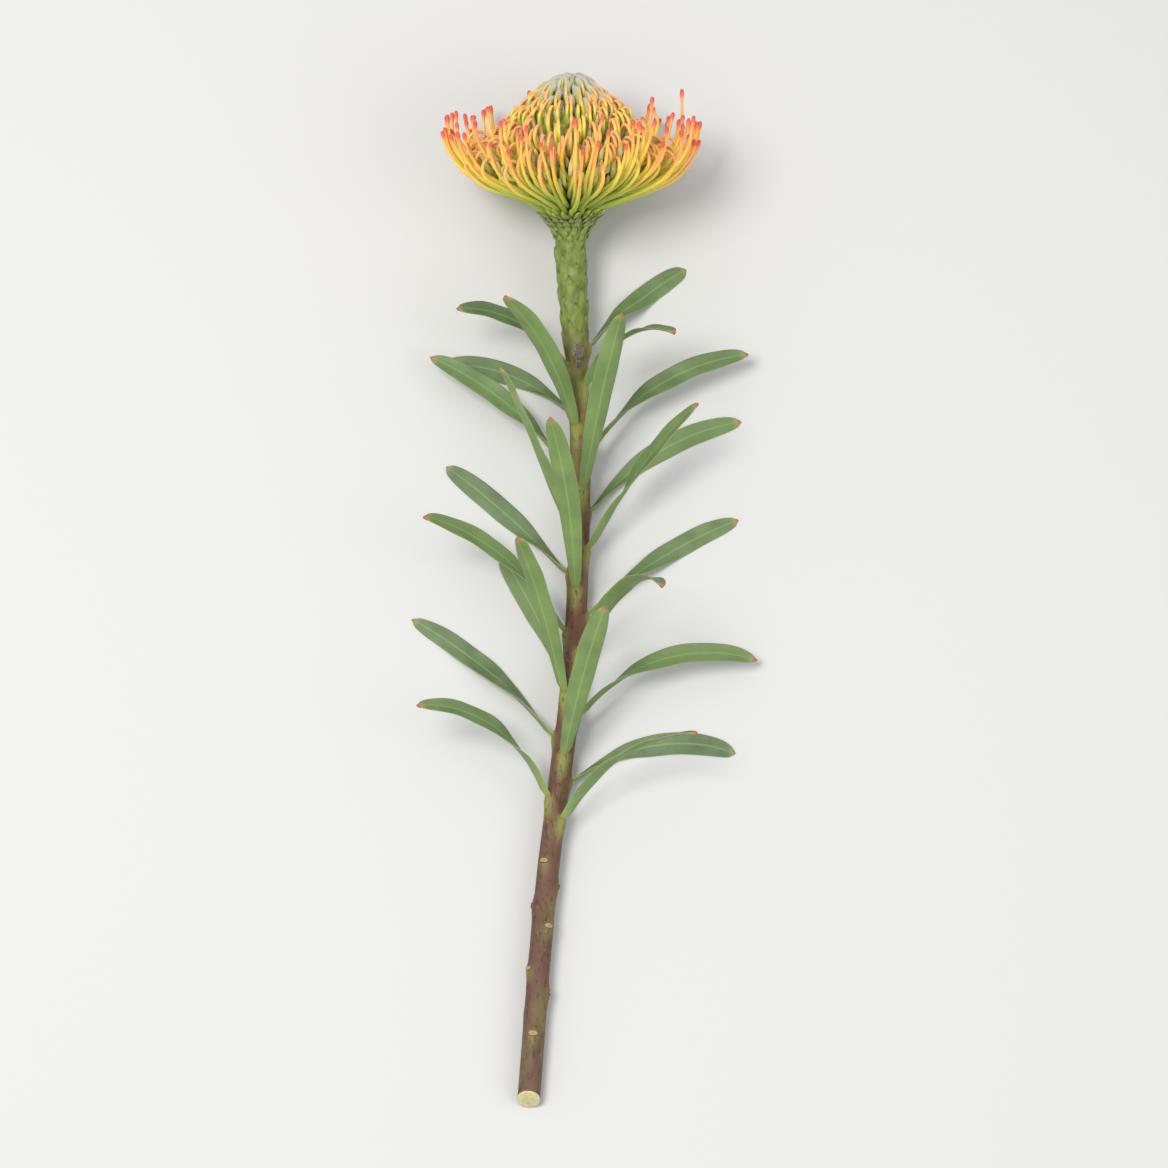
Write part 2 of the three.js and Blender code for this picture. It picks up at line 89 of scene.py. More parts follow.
def soft_lamp(name, place, size, watts, colour):
    lamp_data = bpy.data.lights.new(name, "AREA")
    lamp_data.shape = "DISK"
    lamp_data.size = size
    lamp_data.energy = watts
    lamp_data.color = colour
    lamp = add_object(name, lamp_data)
    lamp.location = place
    lamp.rotation_euler = (LAMP_TARGET - Vector(place)).to_track_quat("-Z", "Y").to_euler()


soft_lamp("key_lamp", (-0.55, -0.05, 1.45), 0.7, 18, (1, 0.98, 0.95))
soft_lamp("fill_lamp", (1.1, -0.5, 1.1), 1.2, 6, (0.95, 0.97, 1))
print("lamps", [lamp.name for lamp in bpy.data.lights])

world = bpy.data.worlds.new("studio")
world.use_nodes = True
sky = world.node_tree.nodes["Background"]
sky.inputs["Color"].default_value = (0.98, 0.99, 1, 1)
sky.inputs["Strength"].default_value = 0.76
bpy.context.scene.world = world
bpy.context.scene.view_settings.view_transform = "Standard"


# %% Lay the floor
def as_mesh(name, shape):
    mesh = bpy.data.meshes.new(name)
    shape.to_mesh(mesh)
    shape.free()
    return mesh


floor_bm = bmesh.new()
bmesh.ops.create_grid(floor_bm, x_segments=1, y_segments=1, size=4)
floor = add_object("floor", as_mesh("floor", floor_bm))
floor_material = bpy.data.materials.new("floor_paper")
floor_material.use_nodes = True
paper = floor_material.node_tree.nodes["Principled BSDF"]
paper.inputs["Base Color"].default_value = (0.56, 0.56, 0.55, 1)
paper.inputs["Roughness"].default_value = 0.85
floor.data.materials.append(floor_material)
print("floor", list(floor.dimensions), "m")

# %% [markdown]
# ## Numbers that grow a flower
#
# A bloom looks alive when its repeats follow one rule and each breaks it a little. `vary` gives every
# repeat its own small change, always the same one, so that the flower comes out alike each time.
# `smooth_line` draws an evenly curved line through a few key places, the way a style bends.

# %% Helpers for numbers and lines
TAU = 2 * math.pi
GOLDEN_ANGLE = math.pi * (3 - math.sqrt(5))


def vary(index, trait):
    value = math.sin(index * 12.9898 + trait * 78.233) * 43758.5453
    return 2 * (value - math.floor(value)) - 1


def mix(low, high, share):
    return low + (high - low) * share


def smooth(low, high, value):
    share = min(max((value - low) / (high - low), 0), 1)
    return share * share * (3 - 2 * share)


def table_value(table, share):
    """Reads a value from a short list of (share, value) pairs, with straight stretches between them."""
    for (low, first), (high, second) in zip(table, table[1:]):
        if share <= high:
            return mix(first, second, (share - low) / (high - low))
    return table[-1][1]


def smooth_line(keys, steps=12):
    """A dense line through key places, with the length run so far at each of its points."""
    keys = [Vector(key) for key in keys]
    padded = [2 * keys[0] - keys[1], *keys, 2 * keys[-1] - keys[-2]]
    points = [keys[0]]
    for p0, p1, p2, p3 in zip(padded, padded[1:], padded[2:], padded[3:]):
        t0, t1, t2 = (max((b - a).length, 1e-6) ** 0.5 for a, b in ((p0, p1), (p1, p2), (p2, p3)))
        leave = ((p1 - p0) / t0 - (p2 - p0) / (t0 + t1) + (p2 - p1) / t1) * t1
        arrive = ((p2 - p1) / t1 - (p3 - p1) / (t1 + t2) + (p3 - p2) / t2) * t1
        for step in range(1, steps + 1):
            s = step / steps
            square, cube = s * s, s * s * s
            point = p1 + leave * s + (3 * (p2 - p1) - 2 * leave - arrive) * square
            points.append(point + (2 * (p1 - p2) + leave + arrive) * cube)
    lengths = [0]
    for before, after in zip(points, points[1:]):
        lengths.append(lengths[-1] + (after - before).length)
    return points, lengths


def place_on(line, share):
    """The place at a share of a line's length."""
    points, lengths = line
    target = share * lengths[-1]
    low, high = 0, len(lengths) - 1
    while high - low > 1:
        middle = (low + high) // 2
        low, high = (middle, high) if lengths[middle] <= target else (low, middle)
    stretch = lengths[high] - lengths[low]
    return points[low].lerp(points[high], (target - lengths[low]) / stretch if stretch else 0)


print("golden angle", round(math.degrees(GOLDEN_ANGLE), 2), "degrees")

# %% [markdown]
# ## Where the bloom sits
#
# The bloom is described in its own terms: a radius from its axis, a turn about it and a height along it.
# `bloom_point` turns these into a place. The crown is the cone that the tops of all florets make together.

# %% The bloom's own measures, in millimetres
SEAT = Vector((-4.972, 140.544, 22.5))
BLOOM_TILT = math.radians(28)
BLOOM_DEPTH = 54
CROWN_SLOPE = 0.9
CROWN_ROUNDING = 9
FLOOR_BLEND = 3
to_bloom = Matrix.Rotation(BLOOM_TILT - math.pi / 2, 3, "X")
bloom_axis = to_bloom @ Vector((0, 0, 1))


def bloom_point(radius, turn, height):
    return to_bloom @ Vector((radius * math.cos(turn), radius * math.sin(turn), height)) + SEAT


def bloom_direction(radius, turn, height):
    return (bloom_point(radius, turn, height) - SEAT).normalized()


def crown(radius):
    return BLOOM_DEPTH - CROWN_SLOPE * (math.hypot(radius, CROWN_ROUNDING) - CROWN_ROUNDING)


def lift(point, rest_height):
    """What would sink into the floor bends and lies along it."""
    depth = point.z - rest_height
    if depth < FLOOR_BLEND:
        above = max(depth + FLOOR_BLEND, 0)
        point.z = rest_height + above * above / (4 * FLOOR_BLEND)
    return point


print("bloom foot at", [round(place, 1) for place in SEAT], "mm")

# %% [markdown]
# ## One straight tube, bent hundreds of times
#
# Styles, loops, buds, leaves and the stem are all tubes: round or flat, thick or thin. Modelling each by
# hand would be endless, and a curve object can't carry several marks for its colours along its length. So
# one straight tube is extruded ring by ring from a circle, and copies of it are bent along each line. The
# bending writes down for each point how far along the tube it is and which way it faces, and the materials
# later read that.

# %% A bundle of bent tubes
LAYERS = ("along", "around", "shade", "kind")


def new_bundle():
    bundle = bmesh.new()
    for layer in LAYERS:
        bundle.verts.layers.float.new(layer)
    return bundle


def pick(geometry, kind):
    return [part for part in geometry if isinstance(part, kind)]


def is_pole(vertex):
    return vertex.co.xy.length < 0.5


def straight_tube(sides, rings):
    """A closed upright tube of radius 1: its ends are poles, and its rings stand at heights 1 to rings."""
    tube = new_bundle()
    made = bmesh.ops.create_circle(tube, cap_ends=True, cap_tris=True, radius=1, segments=sides)
    bmesh.ops.translate(tube, verts=made["verts"], vec=(0, 0, 1))
    for vertex in tube.verts:
        if is_pole(vertex):
            vertex.co.z = 0
    rim = [edge for edge in tube.edges if edge.is_boundary]
    for _ in range(rings - 1):
        grown = bmesh.ops.extrude_edge_only(tube, edges=rim)["geom"]
        bmesh.ops.translate(tube, verts=pick(grown, bmesh.types.BMVert), vec=(0, 0, 1))
        rim = pick(grown, bmesh.types.BMEdge)
    last = bmesh.ops.extrude_edge_only(tube, edges=rim)["geom"]
    bmesh.ops.pointmerge(tube, verts=pick(last, bmesh.types.BMVert), merge_co=(0, 0, rings + 1))
    bmesh.ops.recalc_face_normals(tube, faces=tube.faces)
    return as_mesh("straight_tube", tube)


def ring_of(vertex, rings):
    """The number of a tube vertex's ring. A pole counts with the ring next to it."""
    return min(max(round(vertex.co.z) - 1, 0), rings - 1)


def add_copy(bundle, mesh):
    """Adds a copy of a mesh to a bundle, and gives its new vertices and the layers to write into."""
    first = len(bundle.verts)
    bundle.from_mesh(mesh)
    bundle.verts.ensure_lookup_table()
    return bundle.verts[first:], [bundle.verts.layers.float[layer] for layer in LAYERS]


def mark(vertex, layers, values):
    for layer, value in zip(layers, values):
        vertex[layer] = value


# %% Bend a tube, and finish a piece
def bend_tube(bundle, tube, centres, radii, sideways, shares, shade, kinds=0, flat=1):
    """Bends a copy of a straight tube along centres. flat squeezes it, and the floor stops it."""
    count = len(centres)
    frames = []
    for index in range(count):
        along = (centres[min(index + 1, count - 1)] - centres[max(index - 1, 0)]).normalized()
        across = (sideways - along * sideways.dot(along)).normalized()
        frames.append((across, along.cross(across)))
    vertices, layers = add_copy(bundle, tube)
    for vertex in vertices:
        index = ring_of(vertex, count)
        x, y = vertex.co.xy
        across, outward = frames[index]
        kind = kinds[index] if isinstance(kinds, list) else kinds
        point = centres[index] + across * (x * radii[index]) + outward * (y * radii[index] * flat)
        point.z = max(point.z, 0)
        vertex.co = point
        mark(vertex, layers, (shares[index], math.atan2(y, x), shade, kind))


def finish_piece(name, bundle, material, slot, *nodes):
    """Turns a bundle in millimetres into a finished piece in metres, and hides what it stands for."""
    bmesh.ops.scale(bundle, verts=bundle.verts, vec=(0.001, 0.001, 0.001))
    for face in bundle.faces:
        face.smooth = True
    mesh = as_mesh(name, bundle)
    mesh.materials.append(material)
    piece = add_object(name, mesh)
    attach(piece, "root")
    if nodes:
        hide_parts(*nodes)
    print(name, len(mesh.polygons), "faces")


# %% [markdown]
# ## Materials that follow the plant
#
# Plants change colour along their length: a style is lime at its root, then yellow, then orange, and its
# tip is coral red. A colour ramp that reads the `along` attribute paints exactly that, on any bend, and a
# little noise breaks it up. The helpers below keep each material short: one adds a node, one adds a ramp.

# %% Helpers for nodes
def hex_colour(code):
    """A colour as painters write it, turned into the straight scale that the renderer counts in."""
    parts = [int(code[place:place + 2], 16) / 255 for place in (1, 3, 5)]
    return [part / 12.92 if part < 0.04045 else ((part + 0.055) / 1.055) ** 2.4 for part in parts] + [1]


def add_node(tree, kind, settings=None, **inputs):
    """Adds a node, sets its properties, and links or fills its inputs, by number or with _ for a space."""
    node = tree.nodes.new(kind)
    for key, value in (settings or {}).items():
        setattr(node, key, value)
    for key, value in inputs.items():
        socket = node.inputs[int(key[1:]) if key[1:].isdigit() else key.replace("_", " ")]
        if isinstance(value, bpy.types.NodeSocket):
            tree.links.new(value, socket)
        else:
            socket.default_value = hex_colour(value) if isinstance(value, str) else value
    return node


def add_ramp(tree, fac, stops):
    ramp = add_node(tree, "ShaderNodeValToRGB", i0=fac)
    while len(ramp.color_ramp.elements) < len(stops):
        ramp.color_ramp.elements.new(0.5)
    for element, (place, code) in zip(ramp.color_ramp.elements, stops):
        element.position = place
        element.color = hex_colour(code)
    return ramp.outputs["Color"]


def attribute(tree, name):
    return add_node(tree, "ShaderNodeAttribute", {"attribute_name": name}).outputs["Fac"]


def blend_colours(tree, share, first, second, how="MIX"):
    settings = {"data_type": "RGBA", "blend_type": how, "clamp_factor": True}
    return add_node(tree, "ShaderNodeMix", settings, i0=share, i6=first, i7=second).outputs[2]


def do_math(tree, how, first, second=0.0, third=0.0):
    return add_node(tree, "ShaderNodeMath", {"operation": how}, i0=first, i1=second, i2=third).outputs[0]


def rescale(tree, value, low, high, new_low, new_high):
    node = add_node(tree, "ShaderNodeMapRange", i0=value, i1=low, i2=high, i3=new_low, i4=new_high)
    return node.outputs["Result"]


# %% Helpers for plant skins
def object_noise(tree, size_mm, detail=3.0, stretch=(1, 1, 1)):
    """Noise with patches of a size in millimetres, fixed to the object."""
    place = add_node(tree, "ShaderNodeTexCoord").outputs["Object"]
    scaled = add_node(tree, "ShaderNodeMapping", Vector=place, Scale=stretch).outputs[0]
    noise = add_node(tree, "ShaderNodeTexNoise", Vector=scaled, Scale=1000 / size_mm, Detail=detail)
    return noise.outputs["Fac"]


def own_place(tree, amount):
    """The place along a tube, moved by the tube's own shade, so that no two change colour alike."""
    return do_math(tree, "MULTIPLY_ADD", attribute(tree, "shade"), amount, attribute(tree, "along"))


def noisy_place(tree, size_mm, amount):
    """The place along a tube, broken up by noise."""
    return do_math(tree, "MULTIPLY_ADD", object_noise(tree, size_mm), amount, attribute(tree, "along"))


def plant_material(name, roughness, glow, glow_depth_mm=1.5, sheen=0.0):
    """A leathery plant skin. glow is the share of light that wanders inside before it comes out."""
    material = bpy.data.materials.new(name)
    material.use_nodes = True
    shader = material.node_tree.nodes["Principled BSDF"]
    shader.inputs["Roughness"].default_value = roughness
    shader.inputs["Subsurface Weight"].default_value = glow
    shader.inputs["Subsurface Radius"].default_value = (1, 0.75, 0.35)
    shader.inputs["Subsurface Scale"].default_value = glow_depth_mm / 1000
    shader.inputs["Sheen Weight"].default_value = sheen
    return material, material.node_tree, shader


def add_bump(tree, shader, height, depth_mm):
    bump = add_node(tree, "ShaderNodeBump", Height=height, Distance=depth_mm / 1000, Strength=1)
    tree.links.new(bump.outputs[0], shader.inputs["Normal"])


def paint_skin(tree, shader, colour, grain_mm=0, depth_mm=0):
    """Gives a skin its colour, and a fine grain of this size and depth where it has one."""
    tree.links.new(colour, shader.inputs["Base Color"])
    if grain_mm:
        add_bump(tree, shader, object_noise(tree, grain_mm), depth_mm)


# %% [markdown]
# ## Styles of the rim
#
# The long curved wires that make a pincushion are styles, the flower's female organs. The outermost ones
# have sprung free: each leaves the low receptacle, sweeps out and curves up to its pollen presenter, a
# small swollen club. The plain model has fewer of them. The fine ones stand on the same lines, with further
# ones between them, a little shorter and more upright.

# %% Bend the rim's styles
RIM_STYLES = 48
BETWEEN_STYLES = 32
STYLE_STEPS = [0, 0.07, 0.14, 0.21, 0.28, 0.35, 0.42, 0.49, 0.56, 0.63, 0.7, 0.77, 0.83, 0.88, 0.92]
PRESENTER_STEPS = [0.938, 0.95, 0.963, 0.976, 0.988, 0.996]
STYLE_SHARES = STYLE_STEPS + PRESENTER_STEPS
STYLE_RADII = [(0, 1.4), (0.08, 1.14), (0.3, 0.88), (0.6, 0.75), (0.92, 0.54), (0.938, 0.6),
               (0.955, 0.8), (0.972, 0.85), (0.988, 0.68), (1, 0.28)]
STYLE_ROOT = 7.2
RIM_REACH = 49.5
STRAY_EVERY = 8
PRESSED_FLAT = 0.6
style_tube = straight_tube(8, len(STYLE_SHARES))


def rim_keys(index, rank, is_between):
    reach = RIM_REACH * (1 + 0.03 * vary(index, 1)) - 2.5 * rank
    rise = 1.2 * vary(index, 2)
    tip = mix(32, 40, rank) + 4 * vary(index, 3)
    sway = 0.9 * vary(index, 34)
    if is_between:
        reach *= 0.88 + 0.1 * vary(index, 31)
        rise += 1.5 + 2.5 * vary(index, 32)
        tip += 2 + 6 * vary(index, 33)
        sway *= 2.6
    return [
        (STYLE_ROOT, mix(1.2 if is_between else 2.6, 10, rank)),
        (reach * 0.48, mix(8.4, 12.6, rank) + rise * 0.4, sway),
        (reach * 0.82, mix(16.5, 20.5, rank) + rise, -sway),
        (reach * 0.96, mix(25, 29.5, rank) + rise, -sway * 0.8),
        (reach, tip, sway * 0.6),
    ]


def bend_in_bloom(bundle, tube, keys, shares, radii, turn, drift, shade, kinds=0, flat=1, marks=None):
    """Bends a tube along keys of radius, height and sway, at a turn about the bloom, drifting sideways.

    A key without a sway has none. marks are written down as the places along the tube where they differ
    from shares, the places of its rings.
    """
    line = smooth_line([(*key, 0)[:3] for key in keys])
    across = bloom_point(1, turn + math.pi / 2, 0) - SEAT
    centres = []
    for share, radius in zip(shares, radii):
        place = place_on(line, share)
        point = bloom_point(place.x, turn, place.y) + across * (drift * share * share + place.z)
        centres.append(lift(point, radius * PRESSED_FLAT))
    bend_tube(bundle, tube, centres, radii, across, marks or shares, shade, kinds, flat)


rim_bundle = new_bundle()
style_radii = [table_value(STYLE_RADII, share) for share in STYLE_SHARES]
for index in range(RIM_STYLES):
    rank = index / (RIM_STYLES - 1)
    bend_in_bloom(rim_bundle, style_tube, rim_keys(index, rank, False), STYLE_SHARES, style_radii,
                  index * GOLDEN_ANGLE, 4 * vary(index, 4), vary(index, 40))
for index in range(BETWEEN_STYLES):
    rank = (index + 0.5) / BETWEEN_STYLES
    stray = 11 if index % STRAY_EVERY == 3 else 5
    bend_in_bloom(rim_bundle, style_tube, rim_keys(index + 100, rank, True), STYLE_SHARES, style_radii,
                  (index + 0.5) * GOLDEN_ANGLE, stray * vary(index, 5), vary(index, 41))
print(RIM_STYLES + BETWEEN_STYLES, "styles at the rim")

# %% [markdown]
# Below the lowest styles the bloom's foot is closed by stout lime stubs, the tubes of the outermost
# florets. They reach from the receptacle's edge to the underside of the styles, so no bare rim shows
# between the two.

# %% Bend the stubs at the bloom's foot
STUBS = 52
STUB_SHARES = [0, 0.3, 0.6, 0.85, 1]
STUB_MARKS = [0.02, 0.05, 0.1, 0.16, 0.22]
STUB_RADII = [1.3, 1.25, 1.05, 0.75, 0.25]
stub_tube = straight_tube(8, len(STUB_SHARES))
for index in range(STUBS):
    rank = (index + 0.5) / STUBS
    reach = 12.4 + 1.6 * vary(index, 37)
    keys = [(6.6, mix(-0.3, 3.4, rank)), (9.3, mix(0.8, 4.8, rank)), (reach, mix(2.7, 7.6, rank))]
    bend_in_bloom(rim_bundle, stub_tube, keys, STUB_SHARES, STUB_RADII, (index + 0.3) * GOLDEN_ANGLE,
                  0.8 * vary(index, 38), vary(index, 39), marks=STUB_MARKS)
print(STUBS, "stubs")

# %% [markdown]
# A style's skin is waxy and lets some light through. Its colour runs from lime through yellow and orange to
# a coral presenter with a slightly grey tip, and every style is a shade of its own.

# %% Paint the rim's styles
style_skin, tree, shader = plant_material("waxy_style", 0.4, 0.4, 2.0)
patches = do_math(tree, "MULTIPLY_ADD", object_noise(tree, 6), 0.16, own_place(tree, 0.09))
shaft_colour = add_ramp(tree, do_math(tree, "SUBTRACT", patches, 0.08), [
    (0, "#92a33f"), (0.16, "#a7b649"), (0.34, "#bfc850"), (0.52, "#d8d156"), (0.68, "#eacb56"),
    (0.82, "#f4ba54"), (0.92, "#f0a056"),
])
tip_place = own_place(tree, 0.006)
tip_colour = add_ramp(tree, tip_place, [
    (0.935, "#ec9150"), (0.955, "#e37046"), (0.972, "#d5563f"), (0.99, "#c54a43"), (1, "#ad5f5f"),
])
is_tip = rescale(tree, tip_place, 0.915, 0.96, 0, 1)
paint_skin(tree, shader, blend_colours(tree, is_tip, shaft_colour, tip_colour), 0.8, 0.08)
finish_piece("rim_styles_fine", rim_bundle, style_skin, "rim_style", "rim_styles")

# %% [markdown]
# ## Loops of the ring
#
# Further in, a style's tip is still held by its floret, while its own growth pushes its middle out: it bows
# into a loop. Each loop here is one tube: up the outside, over the top, and down into the woolly knob that
# holds the tip, then on as the floret's tube to the receptacle. `kind` tells the material where the knob
# and the floret begin. Its rings are closest where it turns. Some styles have just sprung free, and stand
# out between the loops.

# %% Lay out a loop's rings
TURNING_RINGS = range(3, 12)


def crowd_rings(shares):
    """Puts one more ring between any two where a loop turns."""
    crowded = []
    for index, share in enumerate(shares):
        crowded.append(share)
        if index in TURNING_RINGS:
            crowded.append((share + shares[index + 1]) / 2)
    return crowded


LOOP_SHARES = crowd_rings(
    [0, 0.1, 0.2, 0.28, 0.35, 0.41, 0.46, 0.51, 0.56, 0.61, 0.66, 0.71, 0.75, 0.79, 0.83, 0.87, 0.9, 1])
LOOP_KIND_TABLE = [(0.71, 0), (0.75, 0.5), (0.79, 1), (0.87, 1), (0.9, 1.6), (1, 2)]
LOOP_KINDS = [table_value(LOOP_KIND_TABLE, max(share, 0.71)) for share in LOOP_SHARES]
LOOP_RADII = [(0, 1), (0.35, 0.76), (0.6, 0.64), (0.73, 0.6), (0.77, 0.9), (0.83, 1.1), (0.87, 1.05),
              (0.9, 0.95), (1, 0.4)]
loop_radii = [table_value(LOOP_RADII, share) for share in LOOP_SHARES]
loop_tube = straight_tube(6, len(LOOP_SHARES))
print(len(LOOP_SHARES), "rings in a loop")

# %% Bend the loops
RING_STYLES = 62
BETWEEN_LOOPS = 76
SPRUNG_EVERY = 7
KNOB_SIZE = 0.95
KNOB_REST_HEIGHT = 1.3


def ring_root(rank, apex, top):
    return (apex - mix(20, 5, rank), top - mix(11, 13, rank))


def looped_keys(rank, apex, top, wider):
    width = mix(7.8, 4, rank) * wider
    return [
        ring_root(rank, apex, top),
        (apex - mix(3.4, 0.6, rank), top - mix(6.2, 8.6, rank)),
        (apex + 0.8, top - 4),
        (apex - 0.8, top - 0.6),
        (apex - width * 0.5, top),
        (apex - width * 0.9, top - 2.6),
        (apex - width * 1.02, top - mix(5, 6, rank)),
        (apex - width * 1.15 - mix(3.5, 0, rank), top - mix(8.5, 11.5, rank)),
    ]


def sprung_keys(index, rank, apex, top):
    return [
        ring_root(rank, apex, top),
        (apex, top - 6),
        (apex + 3.5, top + 2),
        (apex + 3 + 2 * vary(index, 6), top + 8.5),
    ]


knobs = []


def hold_tip(radius, turn, height, size=KNOB_SIZE):
    """Notes where a floret holds a tip, for the wool that is set on it later."""
    knobs.append((lift(bloom_point(radius, turn, height), KNOB_REST_HEIGHT), bloom_axis, size))


ring_bundle = new_bundle()
sprung_bundle = new_bundle()
for index in range(RING_STYLES + BETWEEN_LOOPS):
    is_between = index >= RING_STYLES
    rank = (index - RING_STYLES + 0.5) / BETWEEN_LOOPS if is_between else index / (RING_STYLES - 1)
    turn = (index - RING_STYLES + 0.5 if is_between else index) * GOLDEN_ANGLE
    freedom = 1.5 if is_between else 0.8
    apex = mix(36.5, 22, rank ** 1.15) + freedom * vary(index, 5)
    top = crown(apex) + freedom * vary(index, 6)
    if index % SPRUNG_EVERY == SPRUNG_EVERY - 1 and rank < 0.6:
        keys = sprung_keys(index, rank, apex, top)
        bend_in_bloom(sprung_bundle, style_tube, keys, STYLE_SHARES, style_radii, turn,
                      3 * vary(index, 7), vary(index, 42))
    else:
        keys = looped_keys(rank, apex, top, 1 + 0.15 * vary(index, 55))
        bend_in_bloom(ring_bundle, loop_tube, keys, LOOP_SHARES, loop_radii, turn,
                      (3.4 if is_between else 2) * vary(index, 7), vary(index, 43), LOOP_KINDS)
        hold_tip(keys[6][0] + 0.1, turn, keys[6][1] + 0.8)
print(len(knobs), "tips are held")

# %% [markdown]
# Between the free styles of the rim others are still held. They start as low and sweep out as far, and then
# turn in towards their floret, so the widest loops of the bloom stand among the free tips. Their long leg
# takes most of their length, so the rings of the tube are crowded into the last third, where the loop
# turns.

# %% Bend the wide outer loops
OUTER_LOOPS = 56
OUTER_SHARES = crowd_rings([0, 0.14, 0.28, 0.41, 0.51, 0.59, 0.65, 0.695, 0.735, 0.77, 0.8, 0.83, 0.855,
                            0.88, 0.905, 0.93, 0.955, 1])
for index in range(OUTER_LOOPS):
    rank = (index + 0.5) / OUTER_LOOPS
    turn = (index + 0.7) * GOLDEN_ANGLE
    apex = mix(42.5, 36.5, rank) + 1.6 * vary(index, 91)
    top = mix(24, 31.5, rank) + 2 * vary(index, 92)
    width = 8.4 + 1.4 * vary(index, 93)
    keys = [
        (STYLE_ROOT, mix(2.2, 9.6, rank)),
        (apex * 0.5, mix(8.2, 12.6, rank)),
        (apex * 0.84, mix(12.8, 18.5, rank)),
        (apex + 0.4, top - 5.6),
        (apex - 0.5, top - 1.2),
        (apex - width * 0.42, top),
        (apex - width * 0.85, top - 2.2),
        (apex - width, top - 5.4),
        (apex - width - 3, top - 8.6),
    ]
    bend_in_bloom(ring_bundle, loop_tube, keys, OUTER_SHARES, loop_radii, turn, 5 * vary(index, 94),
                  vary(index, 95), LOOP_KINDS, marks=LOOP_SHARES)
    hold_tip(apex - width * 0.97, turn, top - 4.6)
print(OUTER_LOOPS, "outer loops")

# %% [markdown]
# Towards the top the styles are younger, and their loops get narrower. Most of such a tube is leg, so its
# rings are crowded into the middle, where it turns.

# %% Bend the young loops
YOUNG_LOOPS = 60
YOUNG_THINNESS = 0.86
YOUNG_KNOB_SIZE = 0.9
young_radii = [radius * YOUNG_THINNESS for radius in loop_radii]
young_marks = [max(share - 0.12 * (1 - smooth(0.36, 0.52, share)), 0) for share in LOOP_SHARES]
YOUNG_SHARES = crowd_rings(
    [0, 0.14, 0.27, 0.36, 0.42, 0.46, 0.49, 0.52, 0.55, 0.58, 0.61, 0.635, 0.66, 0.69, 0.73, 0.78, 0.83, 1])
for index in range(YOUNG_LOOPS):
    rank = (index + 0.5) / YOUNG_LOOPS
    turn = (index + 0.2) * GOLDEN_ANGLE
    apex = math.sqrt(mix(22.6 ** 2, 15 ** 2, rank)) + 0.4 * vary(index, 61)
    width = mix(3.4, 2.4, rank)
    top = crown(apex) + 0.5 + 1.1 * vary(index, 62)
    keys = [
        (apex - 3.5, top - 12),
        (apex - 0.2, top - 7.5),
        (apex + 0.7, top - 4),
        (apex + 0.3, top - 1.2),
        (apex - width * 0.4, top),
        (apex - width * 0.9, top - 1),
        (apex - width * 1.1, top - 3.6),
        (apex - width * 1.3, top - 9.5),
    ]
    bend_in_bloom(ring_bundle, loop_tube, keys, YOUNG_SHARES, young_radii, turn, 1.9 * vary(index, 63),
                  vary(index, 64), LOOP_KINDS, marks=young_marks)
    hold_tip(keys[5][0] - 0.2, turn, keys[5][1] - 1.2, YOUNG_KNOB_SIZE)
print(YOUNG_LOOPS, "young loops")

# %% [markdown]
# The loops are yellow-green where they rise and salmon orange where they bend. The knobs are woolly and
# straw-yellow, and the floret tubes below them are lime.

# %% Paint the loops
loop_skin, tree, shader = plant_material("salmon_loop", 0.42, 0.4, 2.0)
loop_colour = add_ramp(tree, own_place(tree, 0.08), [
    (0, "#95a43e"), (0.18, "#b0bc49"), (0.31, "#cdca52"), (0.41, "#e9ca57"), (0.49, "#f5b85b"),
    (0.59, "#f1a462"), (0.7, "#eab688"),
])
kind = attribute(tree, "kind")
woolly = add_ramp(tree, object_noise(tree, 0.7), [(0.3, "#c2bb70"), (0.7, "#e2dba2")])
floret = add_ramp(tree, object_noise(tree, 2), [(0.3, "#aeb650"), (0.7, "#d0d16c")])
with_knob = blend_colours(tree, rescale(tree, kind, 0.2, 0.9, 0, 1), loop_colour, woolly)
with_floret = blend_colours(tree, rescale(tree, kind, 1.3, 1.9, 0, 1), with_knob, floret)
paint_skin(tree, shader, with_floret, 0.7, 0.06)
finish_piece("ring_loops_fine", ring_bundle, loop_skin, "ring_style", "ring_styles")
finish_piece("sprung_styles", sprung_bundle, style_skin, "ring_style")

# %% [markdown]
# ## Floret tubes
#
# Below the loops the head is a packed mass of floret tubes, which fan out from the receptacle. They are
# seen only in the gaps, but without them the gaps would show a bare core. Each is a plain short tube. The
# low ones close the gaps between the styles of the rim.

# %% Bend the floret tubes
FLORETS = 320
LOW_FLORETS = 120
FLORET_SHARES = [0, 0.3, 0.6, 0.85, 0.96, 1]
FLORET_RADII = [0.9, 0.9, 0.85, 0.9, 0.7, 0.25]
floret_tube = straight_tube(6, len(FLORET_SHARES))
floret_bundle = new_bundle()


def bend_floret(index, apex, foot, top):
    keys = [(6.5, foot), (mix(8.5, apex, 0.5), mix(foot, top, 0.34)), (apex, top - 3), (apex + 0.6, top)]
    bend_in_bloom(floret_bundle, floret_tube, keys, FLORET_SHARES, FLORET_RADII,
                  (index + 0.25) * GOLDEN_ANGLE, 1.5 * vary(index, 53), vary(index, 54))


for index in range(FLORETS):
    rank = (index + 0.5) / FLORETS
    apex = mix(32, 12, rank ** 1.1) + 0.6 * vary(index, 51)
    top = crown(apex + 3) - mix(7.4, 4.8, rank ** 2) + 1.4 * vary(index, 52)
    bend_floret(index, apex, mix(12, 34, rank), top)
for index in range(LOW_FLORETS):
    rank = (index + 0.5) / LOW_FLORETS
    apex = 28.5 + 2.5 * vary(index, 56)
    bend_floret(index + FLORETS, apex, mix(7.8, 12, rank), mix(16.8, 23, rank) + vary(index, 57))
print(FLORETS + LOW_FLORETS, "floret tubes")

